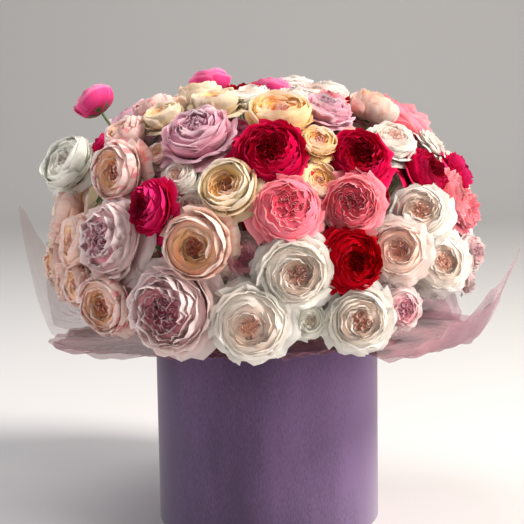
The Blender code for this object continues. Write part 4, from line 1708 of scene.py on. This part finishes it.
@dataclass(frozen=True)
class Lamp:
    """A large soft area light: its place, the height on the axis that it faces, its size, watts and colour."""

    name: str
    place: tuple[float, float, float]
    aim: float
    size: float
    power: float
    colour: str

    def build(self) -> None:
        """Puts the light in the scene."""
        data = bpy.data.lights.new(self.name, "AREA")
        data.shape = "DISK"
        data.size = self.size
        data.energy = self.power
        data.color = tone(self.colour)[:3]
        lamp = bpy.data.objects.new(self.name, data)
        lamp.location = self.place
        lamp.rotation_euler = (Vector((0, 0, self.aim)) - Vector(self.place)).to_track_quat("-Z", "Y").to_euler()
        bpy.context.scene.collection.objects.link(lamp)


LAMPS = (
    Lamp("key", (2.15, -0.85, 2.65), 0.35, 1.1, 160.0, "FFF9F2"),
    Lamp("side", (2.2, -1.15, 0.75), 0.25, 1.2, 36.0, "FFF6F4"),
    Lamp("edge", (-2.1, 0.25, 0.9), 0.25, 1.0, 18.0, "F2F4FF"),
    Lamp("fill", (-1.7, -2.2, 1.3), 0.3, 1.8, 5.0, "F8F6FC"),
    Lamp("top", (-0.5, 0.3, 2.4), 0.3, 1.4, 16.0, "FFFFFF"),
)


@dataclass
class Studio:
    """The floor with its backdrop, the lights and the camera."""

    sensor: float = 36.0
    frame_pixels: float = 524.0
    half_width: float = 6.0
    front: float = -4.0
    back: float = 3.0
    sweep: float = 1.5
    height: float = 4.0
    sweep_steps: int = 16
    floor_colour: str = "D2D0CE"
    floor_roughness: float = 0.9
    room_colour: str = "E9EAED"
    room_light: float = 0.28

    def floor(self) -> None:
        """Makes a pale floor that sweeps up behind into a backdrop."""
        line = [(self.front, 0.0)]
        for i in range(self.sweep_steps + 1):
            angle = math.radians(90.0 * i / self.sweep_steps)
            line.append((self.back + math.sin(angle) * self.sweep, self.sweep * (1 - math.cos(angle))))
        line.append((self.back + self.sweep, self.height))
        points = [(side * self.half_width, y, z) for side in (-1, 1) for y, z in line]
        count = len(line)
        faces = [(count + i, count + i + 1, i + 1, i) for i in range(count - 1)]
        mesh = new_mesh("floor", points, faces)
        for polygon in mesh.polygons:
            polygon.use_smooth = True
        values = {"Base Color": tone(self.floor_colour), "Roughness": self.floor_roughness}
        mesh.materials.append(plain_material("floor", values))
        floor = joined("floor", [mesh])

    def lights(self) -> None:
        """Puts up the lamps and the soft light of the room."""
        for lamp in LAMPS:
            lamp.build()
        world = bpy.data.worlds.new("studio")
        world.use_nodes = True
        fill(world.node_tree.nodes["Background"], {"Color": tone(self.room_colour), "Strength": self.room_light})
        bpy.context.scene.world = world
        bpy.context.scene.view_settings.view_transform = "Standard"

    def camera(self) -> None:
        """Puts the camera at the photograph's place, with its field of view."""
        data = bpy.data.cameras.new("camera")
        data.sensor_width = self.sensor
        data.lens = self.sensor * VIEW.focal_pixels / self.frame_pixels
        _, up, forward = VIEW.axes()
        up = up.normalized()
        turn = Matrix((forward.cross(up), up, -forward)).transposed()
        camera = bpy.data.objects.new("camera", data)
        camera.matrix_world = Matrix.Translation(VIEW.eye) @ turn.to_4x4()
        bpy.context.scene.collection.objects.link(camera)
        bpy.context.scene.camera = camera

    def build(self) -> None:
        """Makes the whole studio."""
        self.camera()
        self.lights()
        self.floor()


def main() -> None:
    """Builds the studio, the box, the film and the roses, in order."""
    logging.basicConfig(level=logging.INFO, format="%(message)s")
    Studio().build()
    box = HatBox()
    log.info("box: %s", box.build().name)
    box.dress_inside()
    film = Film()
    film_finishes = (FILM.build(), CLEAR_FILM.build())
    for sheet in SHEETS:
        log.info("film: %s", film.build(sheet, film_finishes[sheet.clear]).name)
    bouquet = Bouquet()
    maker = RoseMaker(bouquet)
    for number, (name, blooms) in enumerate(bouquet.dome.stems().items()):
        piece = maker.build(name, blooms, number)
        log.info("rose: %s, %d polygons", piece.name, len(piece.data.polygons))


if __name__ == "__main__":
    main()
